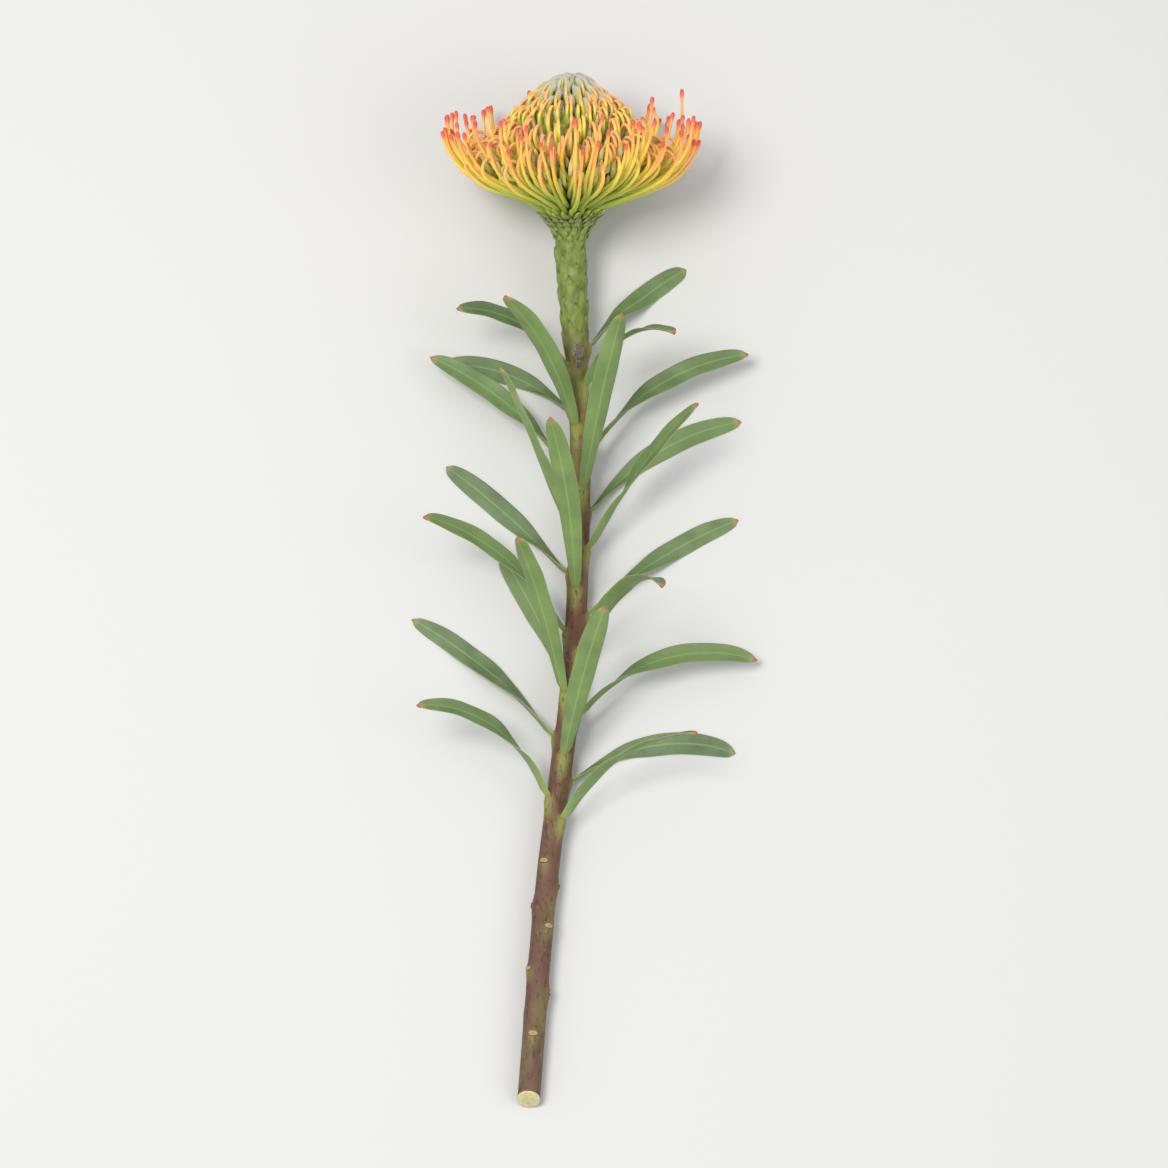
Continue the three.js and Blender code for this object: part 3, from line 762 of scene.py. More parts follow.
# %% [markdown]
# A core behind the tubes closes what they leave open. The real one is the receptacle, a solid of
# revolution, so half of its outline is spun about the bloom's axis.

# %% Spin the core
CORE_PROFILE = [(0, 0.3), (8.3, 0.3), (8.6, 8.5), (13, 11.5), (19.5, 16.5), (21.5, 22), (19.5, 30),
                (15.2, 39.5), (9, 46), (0, 49.5)]
core_bm = bmesh.new()
core_verts = [core_bm.verts.new(bloom_point(radius, 0, height)) for radius, height in CORE_PROFILE]
core_edges = [core_bm.edges.new(pair) for pair in zip(core_verts, core_verts[1:])]
bmesh.ops.spin(core_bm, geom=core_verts + core_edges, cent=SEAT, axis=bloom_axis, angle=TAU, steps=40,
               use_merge=True)
bmesh.ops.remove_doubles(core_bm, verts=core_bm.verts, dist=0.001)
bmesh.ops.recalc_face_normals(core_bm, faces=core_bm.faces)
print(len(core_bm.faces), "faces in the core")

# %% [markdown]
# Both are lime-yellow, and the tubes darken a little towards the receptacle. A darker green would turn the
# gaps between the loops into holes.

# %% Paint the florets and the core
floret_skin, tree, shader = plant_material("floret_tubes", 0.7, 0.1)
floret_colour = add_ramp(tree, noisy_place(tree, 3, 0.3), [
    (0.15, "#9aa23d"), (0.5, "#bdc052"), (0.85, "#d4d264"), (1, "#d8d27a"),
])
paint_skin(tree, shader, floret_colour, 0.6, 0.15)
finish_piece("floret_tubes", floret_bundle, floret_skin, "ring_style")

core_skin, tree, shader = plant_material("receptacle", 0.8, 0.0)
core_colour = add_ramp(tree, object_noise(tree, 2.5), [(0.3, "#9fa444"), (0.7, "#c2c25a")])
paint_skin(tree, shader, core_colour, 0.9, 0.4)
finish_piece("receptacle_core", core_bm, core_skin, "ring_style")

# %% [markdown]
# ## Buds of the dome
#
# In the middle the florets are still closed: stout lime tubes that bend inwards, each with a woolly knob.
# The style of each bud has already grown out of a slit in its outer side, and lies on it as a hook. At the
# very top the hooks are still hidden in the wool, and the young ones round it are pale. The buds stand so
# close that their knobs make the silvery cap of the bloom. Smaller ones fill in between those that the
# plain model has.

# %% Draw a bud and its hook
BUD_SHARES = [0, 0.2, 0.38, 0.52, 0.62, 0.7, 0.78, 0.85, 0.91, 0.96, 1]
BUD_RADII = [(0, 1.45), (0.5, 1.5), (0.66, 1.38), (0.78, 1.42), (0.88, 1.3), (0.95, 0.95), (1, 0.4)]
HOOK_SHARES = [step / 12 for step in range(13)]
HOOK_RADII = [(0, 0.5), (0.3, 0.6), (0.7, 0.56), (1, 0.32)]
bud_tube = straight_tube(8, len(BUD_SHARES))
hook_tube = straight_tube(6, len(HOOK_SHARES))
hook_radii = [table_value(HOOK_RADII, share) for share in HOOK_SHARES]


def bud_keys(radius, top):
    return [
        (radius * 0.6, top - 9),
        (radius * 0.9 + 0.8, top - 5.8),
        (radius + 1.6, top - 3.4),
        (radius + 1.3, top - 1.5),
        (radius - 0.2, top + 0.2),
        (radius - min(radius, 3.2), top + 1.7),
    ]


def hook_keys(radius, top, body, bow):
    """A line on the outside of a bud whose body has this radius, bowed off it by a little."""
    return [
        (radius * 0.9 + 0.6 + body, top - 8),
        (radius + 1.9 + body + bow * 0.8, top - 4.9),
        (radius + 1.9 + body + bow, top - 2.6),
        (radius + 1.1 + body * 0.8 + bow * 0.5, top - 0.5),
        (radius - 0.4, top + 0.2 + body * 0.9),
        (radius - 1.6, top + 0.7 + body * 0.7),
    ]


# %% Bend the buds and their hooks
BUDS = 46
DOME_RADIUS = 15.8
BARE_TOP_RADIUS = 4
bud_bundle = new_bundle()
hook_bundle = new_bundle()
bud_tips = []
for index in range(BUDS * 2):
    is_between = index >= BUDS
    place = index - BUDS + 0.5 if is_between else index
    radius = DOME_RADIUS * math.sqrt((place + 0.5) / BUDS)
    lower = (1.7 if is_between else 0.6) * smooth(5, 10, radius)
    blunt = 1.3 * smooth(2, 6, radius) * (1 - smooth(8, 15, radius)) - 1.0 * (1 - smooth(0, 5, radius))
    top = crown(radius) - 1.08 + 0.5 * vary(index, 8) - lower + blunt
    turn = place * GOLDEN_ANGLE
    size = (0.66 if is_between else 0.9) + 0.05 * vary(index, 10)
    radii = [table_value(BUD_RADII, share) * size for share in BUD_SHARES]
    drift = vary(index, 9)
    bend_in_bloom(bud_bundle, bud_tube, bud_keys(radius, top), BUD_SHARES, radii, turn, drift,
                  vary(index, 44))
    leaning = (bloom_point(radius - 3, turn, top + 1.7) - bloom_point(radius, turn, top)).normalized()
    bud_tips.append((bloom_point(radius - 0.6, turn, top + 0.2), leaning, 1.3 * size))
    if radius > BARE_TOP_RADIUS:
        bow = mix(-0.3, 1.6, smooth(BARE_TOP_RADIUS, 15, radius)) + 0.5 * vary(index, 66)
        youth = 1 - smooth(BARE_TOP_RADIUS, 12.5, radius)
        bend_in_bloom(hook_bundle, hook_tube, hook_keys(radius, top, 1.4 * size, bow), HOOK_SHARES,
                      hook_radii, turn, drift + 0.4 * vary(index, 67), vary(index, 68), youth)
print(len(bud_tips), "buds")

# %% Paint the buds
bud_skin, tree, shader = plant_material("bud_wool", 0.75, 0.15, sheen=0.15)
shader.inputs["Sheen Roughness"].default_value = 0.6
bud_base = add_ramp(tree, own_place(tree, 0.06), [
    (0, "#8a9a36"), (0.4, "#98a83c"), (0.62, "#a9b350"), (0.76, "#b6b988"), (0.9, "#bdb8b0"), (1, "#a19ba6"),
])
bud_noise = add_ramp(tree, object_noise(tree, 0.8), [(0.3, "#8a8270"), (0.7, "#ffffff")])
paint_skin(tree, shader, blend_colours(tree, 0.3, bud_base, bud_noise, "MULTIPLY"), 0.35, 0.08)
finish_piece("bud_dome_fine", bud_bundle, bud_skin, "floret_bud", "bud_dome")

# %% [markdown]
# A hook is peach-coloured where it has left the wool, and still as pale as the bud round it where it is
# young. `kind` carries how young it is.

# %% Paint the hooks
hook_skin, tree, shader = plant_material("bud_hook", 0.5, 0.35, 1.5)
hook_place = own_place(tree, 0.05)
grown_hook = add_ramp(tree, hook_place, [
    (0, "#a8b04a"), (0.22, "#c8c256"), (0.42, "#eaba5e"), (0.68, "#eda468"), (0.86, "#dcb694"),
    (1, "#cfc8c6"),
])
young_hook = add_ramp(tree, hook_place, [(0.2, "#a9b154"), (0.6, "#bdbb8c"), (1, "#b8b2b4")])
is_young = rescale(tree, attribute(tree, "kind"), 0, 0.8, 0, 1)
paint_skin(tree, shader, blend_colours(tree, is_young, grown_hook, young_hook), 0.7, 0.05)
finish_piece("bud_hooks", hook_bundle, hook_skin, "ring_style")

# %% [markdown]
# ## Wool on the knobs
#
# Every knob is covered in silky pale hairs that lie forward along it and blur its outline. Hair particles
# would be lost when the flower is exported, so the hairs are meshes: one tuft of thin three-sided cones
# grows from an egg, and a copy of it, turned at random, sits on each knob. The buds of the dome have a tuft
# of longer hairs.

# %% Make the tufts
HAIR_ROOT_RADIUS = 0.036
HAIR_TIP_RADIUS = 0.008


def point_along(direction):
    """The turn that points an upright shape in a direction."""
    return direction.to_track_quat("Z", "Y").to_matrix().to_4x4()


def make_tuft(hairs, reach):
    tuft = new_bundle()
    for index in range(hairs):
        height = 1 - 1.8 * (index + 0.5) / hairs
        turn = index * GOLDEN_ANGLE
        around = math.sqrt(1 - height * height)
        away = Vector((around * math.cos(turn), around * math.sin(turn), height))
        lean = (away * 0.42 + Vector((0.2 * vary(index, 71), 0.2 * vary(index, 72), 0.9))).normalized()
        length = reach * (1 + 0.4 * vary(index, 73))
        root = Vector((away.x * 0.95, away.y * 0.95, away.z * 1.3))
        place = Matrix.Translation(root + lean * (length / 2)) @ point_along(lean)
        bmesh.ops.create_cone(tuft, cap_ends=False, segments=3, radius1=HAIR_ROOT_RADIUS,
                              radius2=HAIR_TIP_RADIUS, depth=length, matrix=place)
    return as_mesh("tuft", tuft)


short_tuft = make_tuft(48, 0.9)
long_tuft = make_tuft(110, 1.2)
print(len(short_tuft.polygons), "and", len(long_tuft.polygons), "faces in a tuft")


# %% Set a tuft on every knob
def add_tuft(bundle, tuft, centre, direction, size, spin):
    grown, _ = add_copy(bundle, tuft)
    turned = point_along(direction) @ Matrix.Rotation(3 * spin, 4, "Z")
    place = Matrix.Translation(centre) @ turned @ Matrix.Scale(size, 4)
    bmesh.ops.transform(bundle, verts=grown, matrix=place)
    for vertex in grown:
        vertex.co.z = max(vertex.co.z, 0.05)


wool_bundle = new_bundle()
for index, (centre, direction, size) in enumerate(knobs):
    add_tuft(wool_bundle, short_tuft, centre, direction, size, vary(index, 74))
for index, (centre, direction, size) in enumerate(bud_tips):
    add_tuft(wool_bundle, long_tuft, centre, direction, size, vary(index, 69))
print(len(knobs) + len(bud_tips), "tufts")

# %% Paint the wool
wool_skin, tree, shader = plant_material("knob_wool", 0.9, 0.0)
wool_colour = add_ramp(tree, object_noise(tree, 5), [(0.35, "#d6d1d1"), (0.6, "#f2efec")])
paint_skin(tree, shader, wool_colour)
finish_piece("knob_wool", wool_bundle, wool_skin, "floret_bud")

# %% [markdown]
# ## Curled floret lobes
#
# When a style springs free, the floret that held it curls back. The tan curls stay between the feet of the
# styles. Each is a short flat tube on a line that runs into a curl.

# %% Bend the curls
CURLS = 96
CURL_STEPS = 8
CURL_SHARES = [step / 15 for step in range(16)]
CURL_RADII = [(0, 0.9), (0.6, 1), (0.9, 0.75), (1, 0.3)]
curl_radii = [table_value(CURL_RADII, share) for share in CURL_SHARES]
curl_tube = straight_tube(6, len(CURL_SHARES))
curl_bundle = new_bundle()
for index in range(CURLS):
    rank = (index + 0.5) / CURLS
    radius = mix(11.5, 31, rank) + 1.5 * vary(index, 81)
    height = mix(8.5, 20, rank) + 1.2 * vary(index, 82)
    keys = [(radius - 5, height - 2.5), (radius - 1.5, height - 0.8)]
    for step in range(CURL_STEPS):
        angle = -1.2 + step * 0.85
        size = 1.9 - 0.13 * step
        keys.append((radius + size * math.cos(angle), height + 1.4 + size * math.sin(angle), 0.25 * step))
    bend_in_bloom(curl_bundle, curl_tube, keys, CURL_SHARES, curl_radii, (index + 0.6) * GOLDEN_ANGLE, 0,
                  vary(index, 83), flat=0.32)
print(CURLS, "curls")

# %% Paint the curls
curl_skin, tree, shader = plant_material("curled_lobe", 0.75, 0.15)
curl_colour = add_ramp(tree, noisy_place(tree, 1.5, 0.5), [
    (0.2, "#a6aa4a"), (0.55, "#c4bd60"), (0.85, "#cfbd74"), (1, "#bd9c62"),
])
paint_skin(tree, shader, curl_colour, 0.4, 0.15)
finish_piece("curled_lobes", curl_bundle, curl_skin, "rim_style")

# %% [markdown]
# ## Stem
#
# The stem is one long tube on the plain model's own line. Its radius does the modelling: it swells into the
# neck and flares under the bloom, every scale of the neck sits on a bulge, and each leaf and each scar has
# a raised cushion. A low ridge runs down from each leaf. `kind` marks the cushions and the cut for the
# material.

# %% Measure the stem
STEM_LENGTH = 340
NECK_LENGTH = 46
NECK_RADII = (5.9, 4.7)
BARE_RADII = (3.7, 4.1)
FLARE_RADIUS = 8.6
STEM_KEYS = ((-15, 0.985, 4.1), (-9, 0.76, 6.2), (1, 0.5, 7.4), (3.5, 0.26, 8.6), (1.6, 0.12, 12.2))
stem_keys = [SEAT + Vector((aside, -STEM_LENGTH * share, height - SEAT.z))
             for aside, share, height in STEM_KEYS]
stem_line = smooth_line([*stem_keys, SEAT - bloom_axis * 14, SEAT - bloom_axis * 0.3], steps=40)
stem_run = stem_line[1][-1]
print("stem", round(stem_run, 1), "mm long")


def stem_radius(below):
    neck = mix(*NECK_RADII, smooth(0, NECK_LENGTH, below))
    bare = mix(*BARE_RADII, below / stem_run)
    shaft = mix(neck, bare, smooth(NECK_LENGTH * 0.8, NECK_LENGTH * 1.5, below))
    return mix(FLARE_RADIUS, shaft, smooth(-1, 9, below))


def stem_station(below, turn):
    """The centre, the direction and the outward side of the stem at a distance below the bloom."""
    share = 1 - below / stem_run
    ahead = place_on(stem_line, min(share + 0.002, 1))
    behind = place_on(stem_line, max(share - 0.002, 0))
    along = (ahead - behind).normalized()
    sideways = (Vector((1, 0, 0)) - along * along.x).normalized()
    upward = sideways.cross(along)
    return place_on(stem_line, share), along, upward * math.cos(turn) + sideways * math.sin(turn)


# %% Where leaves and scars sit
LEAVES = 24
FIRST_LEAF = 50
LEAF_SPACING = 8
FIRST_LEAF_TURN = math.radians(140)
LEAVES_GATHER = 0.76
SCARS = 10
NECK_SCALES = 34


def wrapped(turn):
    """The same turn, counted from minus half a turn to half a turn."""
    return math.atan2(math.sin(turn), math.cos(turn))


def leaf_turn(index):
    return wrapped(FIRST_LEAF_TURN + index * GOLDEN_ANGLE) * LEAVES_GATHER


leaf_feet = [(FIRST_LEAF + LEAF_SPACING * index, leaf_turn(index)) for index in range(LEAVES)]
scar_feet = [(FIRST_LEAF + LEAF_SPACING * index, FIRST_LEAF_TURN + index * GOLDEN_ANGLE)
             for index in range(LEAVES, LEAVES + SCARS)]
scale_feet = [(mix(9.9, NECK_LENGTH * 1.15, (index + 0.5) / NECK_SCALES), index * GOLDEN_ANGLE)
              for index in range(NECK_SCALES)]
print(len(leaf_feet), "leaves,", len(scar_feet), "scars,", len(scale_feet), "scales")


# %% Model the stem's skin
def bulge(run, above, below, aside, width):
    """A rounded bump of height 1, which falls off over its own lengths above, below and to the sides."""
    return math.exp(-(run / (above if run < 0 else below)) ** 2 - (aside / width) ** 2)


def streak(run, rises, falls, aside, width):
    """A long mark that rises over one stretch below its foot, falls over another, and fades sideways."""
    return math.exp(-(aside / width) ** 2) * smooth(*rises, run) * (1 - smooth(*falls, run))


def stem_relief(below, turn):
    """How far the stem's skin is raised, and its kind: 1 on the cushion of a leaf, 0 on plain skin."""
    height, kind = 0, 0
    for foot, foot_turn in scale_feet:
        run = below - foot + 0.6
        if abs(run) < 9:
            height += 0.85 * bulge(run, 1.5, 3.8, wrapped(turn - foot_turn), 0.46)
    for foot, foot_turn in leaf_feet:
        run = below - foot
        if -4 < run < 26:
            aside = wrapped(turn - foot_turn)
            ridge = streak(run, (-3, 2), (6, 26), aside, 0.3)
            height += 1.1 * bulge(run - 0.4, 2, 4, aside, 0.6) + 0.2 * ridge
            kind = max(kind, streak(run, (-3.5, 0), (1, 13), aside, 0.62))
    for foot, foot_turn in scar_feet:
        run = below - foot
        if -6 < run < 12:
            aside = wrapped(turn - foot_turn)
            height += 0.8 * bulge(run, 2.4, 4, aside, 0.7)
            kind = max(kind, 0.45 * streak(run, (-3.5, 0), (1, 9), aside, 0.6))
    return height, kind


# %% Bend and carve the stem
STEM_SIDES = 40
STEM_STEP = 1.8
NECK_STEP = 0.9
NECK_STEPS_END = 58
CUT_SHARES = [0, 0.0002, 0.0004, 0.0012]
CUT_WIDTHS = [0.55, 0.9, 0.985, 1]
CUT_SLANT = 2.2
CUT_KIND = -2
stem_shares = CUT_SHARES[:]
while stem_shares[-1] < 1:
    below = stem_run * (1 - stem_shares[-1])
    step = NECK_STEP if below < NECK_STEPS_END else STEM_STEP
    stem_shares.append(min(stem_shares[-1] + step / stem_run, 1))
stem_bundle = new_bundle()
vertices, layers = add_copy(stem_bundle, straight_tube(STEM_SIDES, len(stem_shares)))
for vertex in vertices:
    index = ring_of(vertex, len(stem_shares))
    below = stem_run * (1 - stem_shares[index])
    turn = math.atan2(-vertex.co.x, vertex.co.y)
    centre, along, outward = stem_station(below, turn)
    at_cut = index < len(CUT_SHARES)
    raised, kind = (0, CUT_KIND) if at_cut else stem_relief(below, turn)
    radius = (stem_radius(below) + raised) * (CUT_WIDTHS[index] if at_cut else 1)
    if is_pole(vertex):
        radius = 0
    slant = CUT_SLANT * math.cos(turn) * (radius / BARE_RADII[1]) * (1 - smooth(0, 0.012, stem_shares[index]))
    point = centre + outward * radius + along * slant
    point.z = max(point.z, 0)
    vertex.co = point
    mark(vertex, layers, (below, turn, 0, kind))
bmesh.ops.recalc_face_normals(stem_bundle, faces=stem_bundle.faces)
print(len(stem_shares), "rings in the stem")

# %% [markdown]
# The neck is olive green with a fine darker mottling. Further down the stem turns reddish brown with olive
# stretches, dark flecks and pale pores, and each leaf leaves a yellow-green patch below its foot. Fine
# fibres run lengthwise, and the cut is pale.

# %% Paint the stem
stem_skin, tree, shader = plant_material("stem_bark", 0.55, 0.06)
below = attribute(tree, "along")
kind = attribute(tree, "kind")
drift = do_math(tree, "MULTIPLY_ADD", object_noise(tree, 14, 2), 60, below)
bark = add_ramp(tree, rescale(tree, drift, 30, 330, 0, 1), [
    (0, "#7a8b39"), (0.11, "#798738"), (0.2, "#7c7534"), (0.32, "#745530"), (0.5, "#6a4329"), (1, "#5e3e2b"),
])
mottle = add_ramp(tree, object_noise(tree, 2.2, 3, (1, 0.45, 1)), [
    (0.36, "#9aa883"), (0.5, "#d8dcc8"), (0.62, "#ffffff"),
])
mottled = blend_colours(tree, rescale(tree, below, 35, 75, 0.75, 0.2), bark, mottle, "MULTIPLY")
olive = rescale(tree, object_noise(tree, 12, 2, (1, 0.4, 1)), 0.46, 0.66, 0, 0.6)
olive_share = do_math(tree, "MULTIPLY", olive, rescale(tree, below, 45, 90, 0, 1))
streaked = blend_colours(tree, olive_share, mottled, "#726c34")
patched = blend_colours(tree, rescale(tree, kind, 0.1, 0.8, 0, 0.75), streaked, "#848b3c")
flecks = add_ramp(tree, object_noise(tree, 1.1, 3, (1, 0.4, 1)), [(0.34, "#6b4a35"), (0.44, "#ffffff")])
flecked = blend_colours(tree, rescale(tree, below, 50, 110, 0.05, 0.62), patched, flecks, "MULTIPLY")
pale_pores = rescale(tree, object_noise(tree, 1.6, 2, (1, 0.6, 1)), 0.68, 0.74, 0, 0.35)
pored = blend_colours(tree, pale_pores, flecked, "#b39a76")
pith = add_ramp(tree, object_noise(tree, 0.6), [(0.3, "#b9b37a"), (0.7, "#dcd5a4")])
is_cut = rescale(tree, kind, -1.5, -1.9, 0, 1)
paint_skin(tree, shader, blend_colours(tree, is_cut, pored, pith))

# %% Give the bark its fibres
fibre_across = do_math(tree, "MULTIPLY", attribute(tree, "around"), 7.0)
fibre_along = do_math(tree, "MULTIPLY", below, 0.12)
fibre_place = add_node(tree, "ShaderNodeCombineXYZ", i0=fibre_across, i1=fibre_along).outputs[0]
fibres = add_node(tree, "ShaderNodeTexNoise", Vector=fibre_place, Scale=1.6, Detail=4).outputs["Fac"]
add_bump(tree, shader, do_math(tree, "MULTIPLY", fibres, rescale(tree, below, 20, 120, 0.45, 1)), 0.3)
finish_piece("stem_fine", stem_bundle, stem_skin, "stem", "stem")

# %% [markdown]
# ## Leaf scars
#
# The lowest leaves were stripped when the stem was cut, and each left a scar: a low oval with a dark corky
# rim round a paler middle that dries hollow. A capped circle is inset ring by ring, and each ring is raised
# or sunk. The disc is then wrapped round the stem, with its edge deep in the bark. A lone face has only
# boundary edges, so the inset has to be told to use them.

# %% Shape the scars
SCAR_HALF_WIDTH = 2.1
SCAR_HALF_HEIGHT = 1.25
SCAR_INSETS = ((0.2, 0.42), (0.16, 0.08), (0.2, -0.2), (0.2, 0.06))
SCAR_DEPTH = 0.4
SCAR_EDGE_DEPTH = 1.1
scar_bundle = new_bundle()
for index, (below, turn) in enumerate(scar_feet):
    first = len(scar_bundle.verts)
    bmesh.ops.create_circle(scar_bundle, cap_ends=True, cap_tris=False, radius=1, segments=20)
    scar_bundle.faces.ensure_lookup_table()
    disc = [scar_bundle.faces[-1]]
    for thickness, rise in SCAR_INSETS:
        bmesh.ops.inset_region(scar_bundle, faces=disc, thickness=thickness, use_boundary=True)
        bmesh.ops.translate(scar_bundle, verts=disc[0].verts, vec=(0, 0, rise))
    bmesh.ops.poke(scar_bundle, faces=disc)
    scar_bundle.verts.ensure_lookup_table()
    size = 1 + 0.12 * vary(index, 78)
    around_stem = stem_radius(below) + 0.2
    for vertex in scar_bundle.verts[first:]:
        edge = vertex.co.xy.length
        x = vertex.co.x * SCAR_HALF_WIDTH * size
        y = vertex.co.y * SCAR_HALF_HEIGHT * size
        raised = vertex.co.z
        centre, along, outward = stem_station(below - y, turn + x / around_stem)
        relief = stem_relief(below - y, turn + x / around_stem)[0]
        sunk = SCAR_EDGE_DEPTH if edge > 0.95 else SCAR_DEPTH
        vertex.co = centre + outward * (around_stem + relief + raised - sunk)
        vertex.co.z = max(vertex.co.z, 0.02)
        vertex[scar_bundle.verts.layers.float["along"]] = edge
bmesh.ops.recalc_face_normals(scar_bundle, faces=scar_bundle.faces)
print(len(scar_bundle.faces), "faces in the scars")

# %% Paint the scars
scar_skin, tree, shader = plant_material("leaf_scar", 0.85, 0.0)
scar_colour = add_ramp(tree, noisy_place(tree, 0.9, 0.3), [
    (0.15, "#7f6549"), (0.35, "#a1835f"), (0.65, "#ab8f69"), (0.85, "#735843"), (1, "#5a4331"),
])
paint_skin(tree, shader, scar_colour, 0.4, 0.2)
finish_piece("leaf_scars", scar_bundle, scar_skin, "stem")

# %% [markdown]
# ## Scales of the neck and bracts
#
# Scales and bracts are small flat tubes that swell from a narrow foot and end in a point, with the foot
# sunk in the skin. On the neck they lie in a spiral, far apart, with dark tips. Under the bloom they crowd
# into a funnel of hairy bracts, which lean out more in each row until the last ones lie against the
# underside of the styles.

# %% Shape the scales of the neck
SCALE_SHARES = [0, 0.15, 0.3, 0.45, 0.6, 0.75, 0.88, 1]
SCALE_WIDTHS = [(0, 0.3), (0.15, 0.75), (0.35, 1), (0.6, 0.8), (0.88, 0.28), (1, 0.08)]
scale_tube = straight_tube(8, len(SCALE_SHARES))


def add_scale(bundle, root, along, outward, length, width, rise, shade, thickness=0.45):
    """Lays a scale along a direction from its root. rise lifts its tip off the skin."""
    centres, radii = [], []
    for share in SCALE_SHARES:
        raised = rise * smooth(0.2, 1, share) - 0.25 - 1.1 * (1 - smooth(0, 0.4, share))
        centre = root + along * (length * (share * 1.15 - 0.15)) + outward * raised
        centres.append(lift(centre, 0.2))
        radii.append(width / 2 * table_value(SCALE_WIDTHS, share))
    bend_tube(bundle, scale_tube, centres, radii, along.cross(outward), SCALE_SHARES, shade, flat=thickness)


scale_bundle = new_bundle()
for index, (below, turn) in enumerate(scale_feet):
    centre, along, outward = stem_station(below, turn)
    root = centre + outward * (stem_radius(below) + 0.72)
    size = 1 + 0.25 * vary(index, 76)
    add_scale(scale_bundle, root, along, outward, 3.8 * size, 2.5 * size, 0.1, vary(index, 45), 0.34)

# %% [markdown]
# Each row of bracts has its count, its height on the bloom's axis, its length and how steeply it climbs.

# %% Shape the bracts
BRACT_ROWS = ((8, -8.4, 4.2, 3.1), (11, -6.5, 4.4, 1.9), (14, -4.8, 4.4, 1.3), (17, -3, 4.6, 1),
              (20, -1.4, 4.8, 0.78), (21, 0, 5.2, 0.62))
FIRST_HAIRY_ROW = 3
BRACT_WIDTH = 2.7
bract_bundle = new_bundle()
hair_bundle = new_bundle()
for row, (count, height, length, climb) in enumerate(BRACT_ROWS):
    for index in range(count):
        turn = TAU * (index + row * 0.5 + 0.22 * vary(index, 29 + row)) / count
        climb_here = climb * (1 + 0.12 * vary(index, 10 + row))
        along = bloom_direction(1, turn, climb_here)
        outward = bloom_direction(climb_here, turn, -1)
        root = bloom_point(stem_radius(max(-height, 0)) + 0.5, turn, height)
        size = 1 + 0.15 * vary(index, 20 + row)
        add_scale(bract_bundle, root, along, outward, length * size, BRACT_WIDTH * size, 0.1,
                  vary(index, 46 + row), 0.26)
        if row >= FIRST_HAIRY_ROW:
            tuft_place = root + along * (length * 0.5)
            add_tuft(hair_bundle, short_tuft, tuft_place, along, 0.55, vary(index, 75 + row))
print(sum(row[0] for row in BRACT_ROWS), "bracts")

# %% Paint scales and bracts
scale_skin, tree, shader = plant_material("neck_scale", 0.6, 0.05)
scale_colour = add_ramp(tree, attribute(tree, "along"), [
    (0.3, "#7a8b39"), (0.55, "#6c7f37"), (0.78, "#56672f"), (0.95, "#4d4a2e"),
])
paint_skin(tree, shader, scale_colour, 0.5, 0.1)
finish_piece("neck_scales", scale_bundle, scale_skin, "stem")

bract_skin, tree, shader = plant_material("hairy_bract", 0.8, 0.1, sheen=0.12)
bract_base = add_ramp(tree, attribute(tree, "along"), [
    (0.3, "#84993f"), (0.6, "#8b9945"), (0.8, "#7f7f4c"), (0.95, "#6b5f4e"),
])
bract_noise = add_ramp(tree, object_noise(tree, 0.6), [(0.3, "#c0c0ac"), (0.7, "#ffffff")])
paint_skin(tree, shader, blend_colours(tree, 0.4, bract_base, bract_noise, "MULTIPLY"), 0.35, 0.15)
finish_piece("bracts_fine", bract_bundle, bract_skin, "bract", "bracts")

hair_skin, tree, shader = plant_material("bract_hair", 0.9, 0.0)
paint_skin(tree, shader, add_ramp(tree, object_noise(tree, 4), [(0.35, "#a3a384"), (0.65, "#c9c6b0")]))
finish_piece("bract_hairs", hair_bundle, hair_skin, "bract")

# %% [markdown]
# ## Leaves
#
# A leaf is a very flat tube: its two faces and its rounded edge come from one section, which is squeezed to
# a blade and bent into a shallow trough. The plain model gives its rib, its width and the way it turns its
# face up. The fine leaf runs on the same rib in many more steps, and its foot narrows where it leaves the
# stem.

# %% Draw a leaf's rib
LEAF_STEPS = 11
LEAF_SIDES = 22
LEAF_RINGS = 46
LEAF_LENGTH = 70
LEAF_HALF_WIDTH = 4.3
LEAF_WIDEST = 0.55
LEAF_ROUNDS_OFF = 0.97
leaf_tube = straight_tube(LEAF_SIDES, LEAF_RINGS)


def leaf_half_width(share):
    """Widest past the middle, drawn in at the foot, and rounded off at the blunt tip."""
    if share < LEAF_WIDEST:
        half = LEAF_HALF_WIDTH * mix(0.46, 1, math.sin(math.pi / 2 * (share / LEAF_WIDEST)) ** 1.3)
    else:
        half = LEAF_HALF_WIDTH * math.sqrt(1 - 0.93 * ((share - LEAF_WIDEST) / 0.45) ** 3.4)
    if share > LEAF_ROUNDS_OFF:
        half *= math.sqrt(max(1 - ((share - LEAF_ROUNDS_OFF) / 0.03) ** 2, 0)) * 0.45 + 0.55
    return half * mix(0.4, 1, smooth(-0.01, 0.06, share))


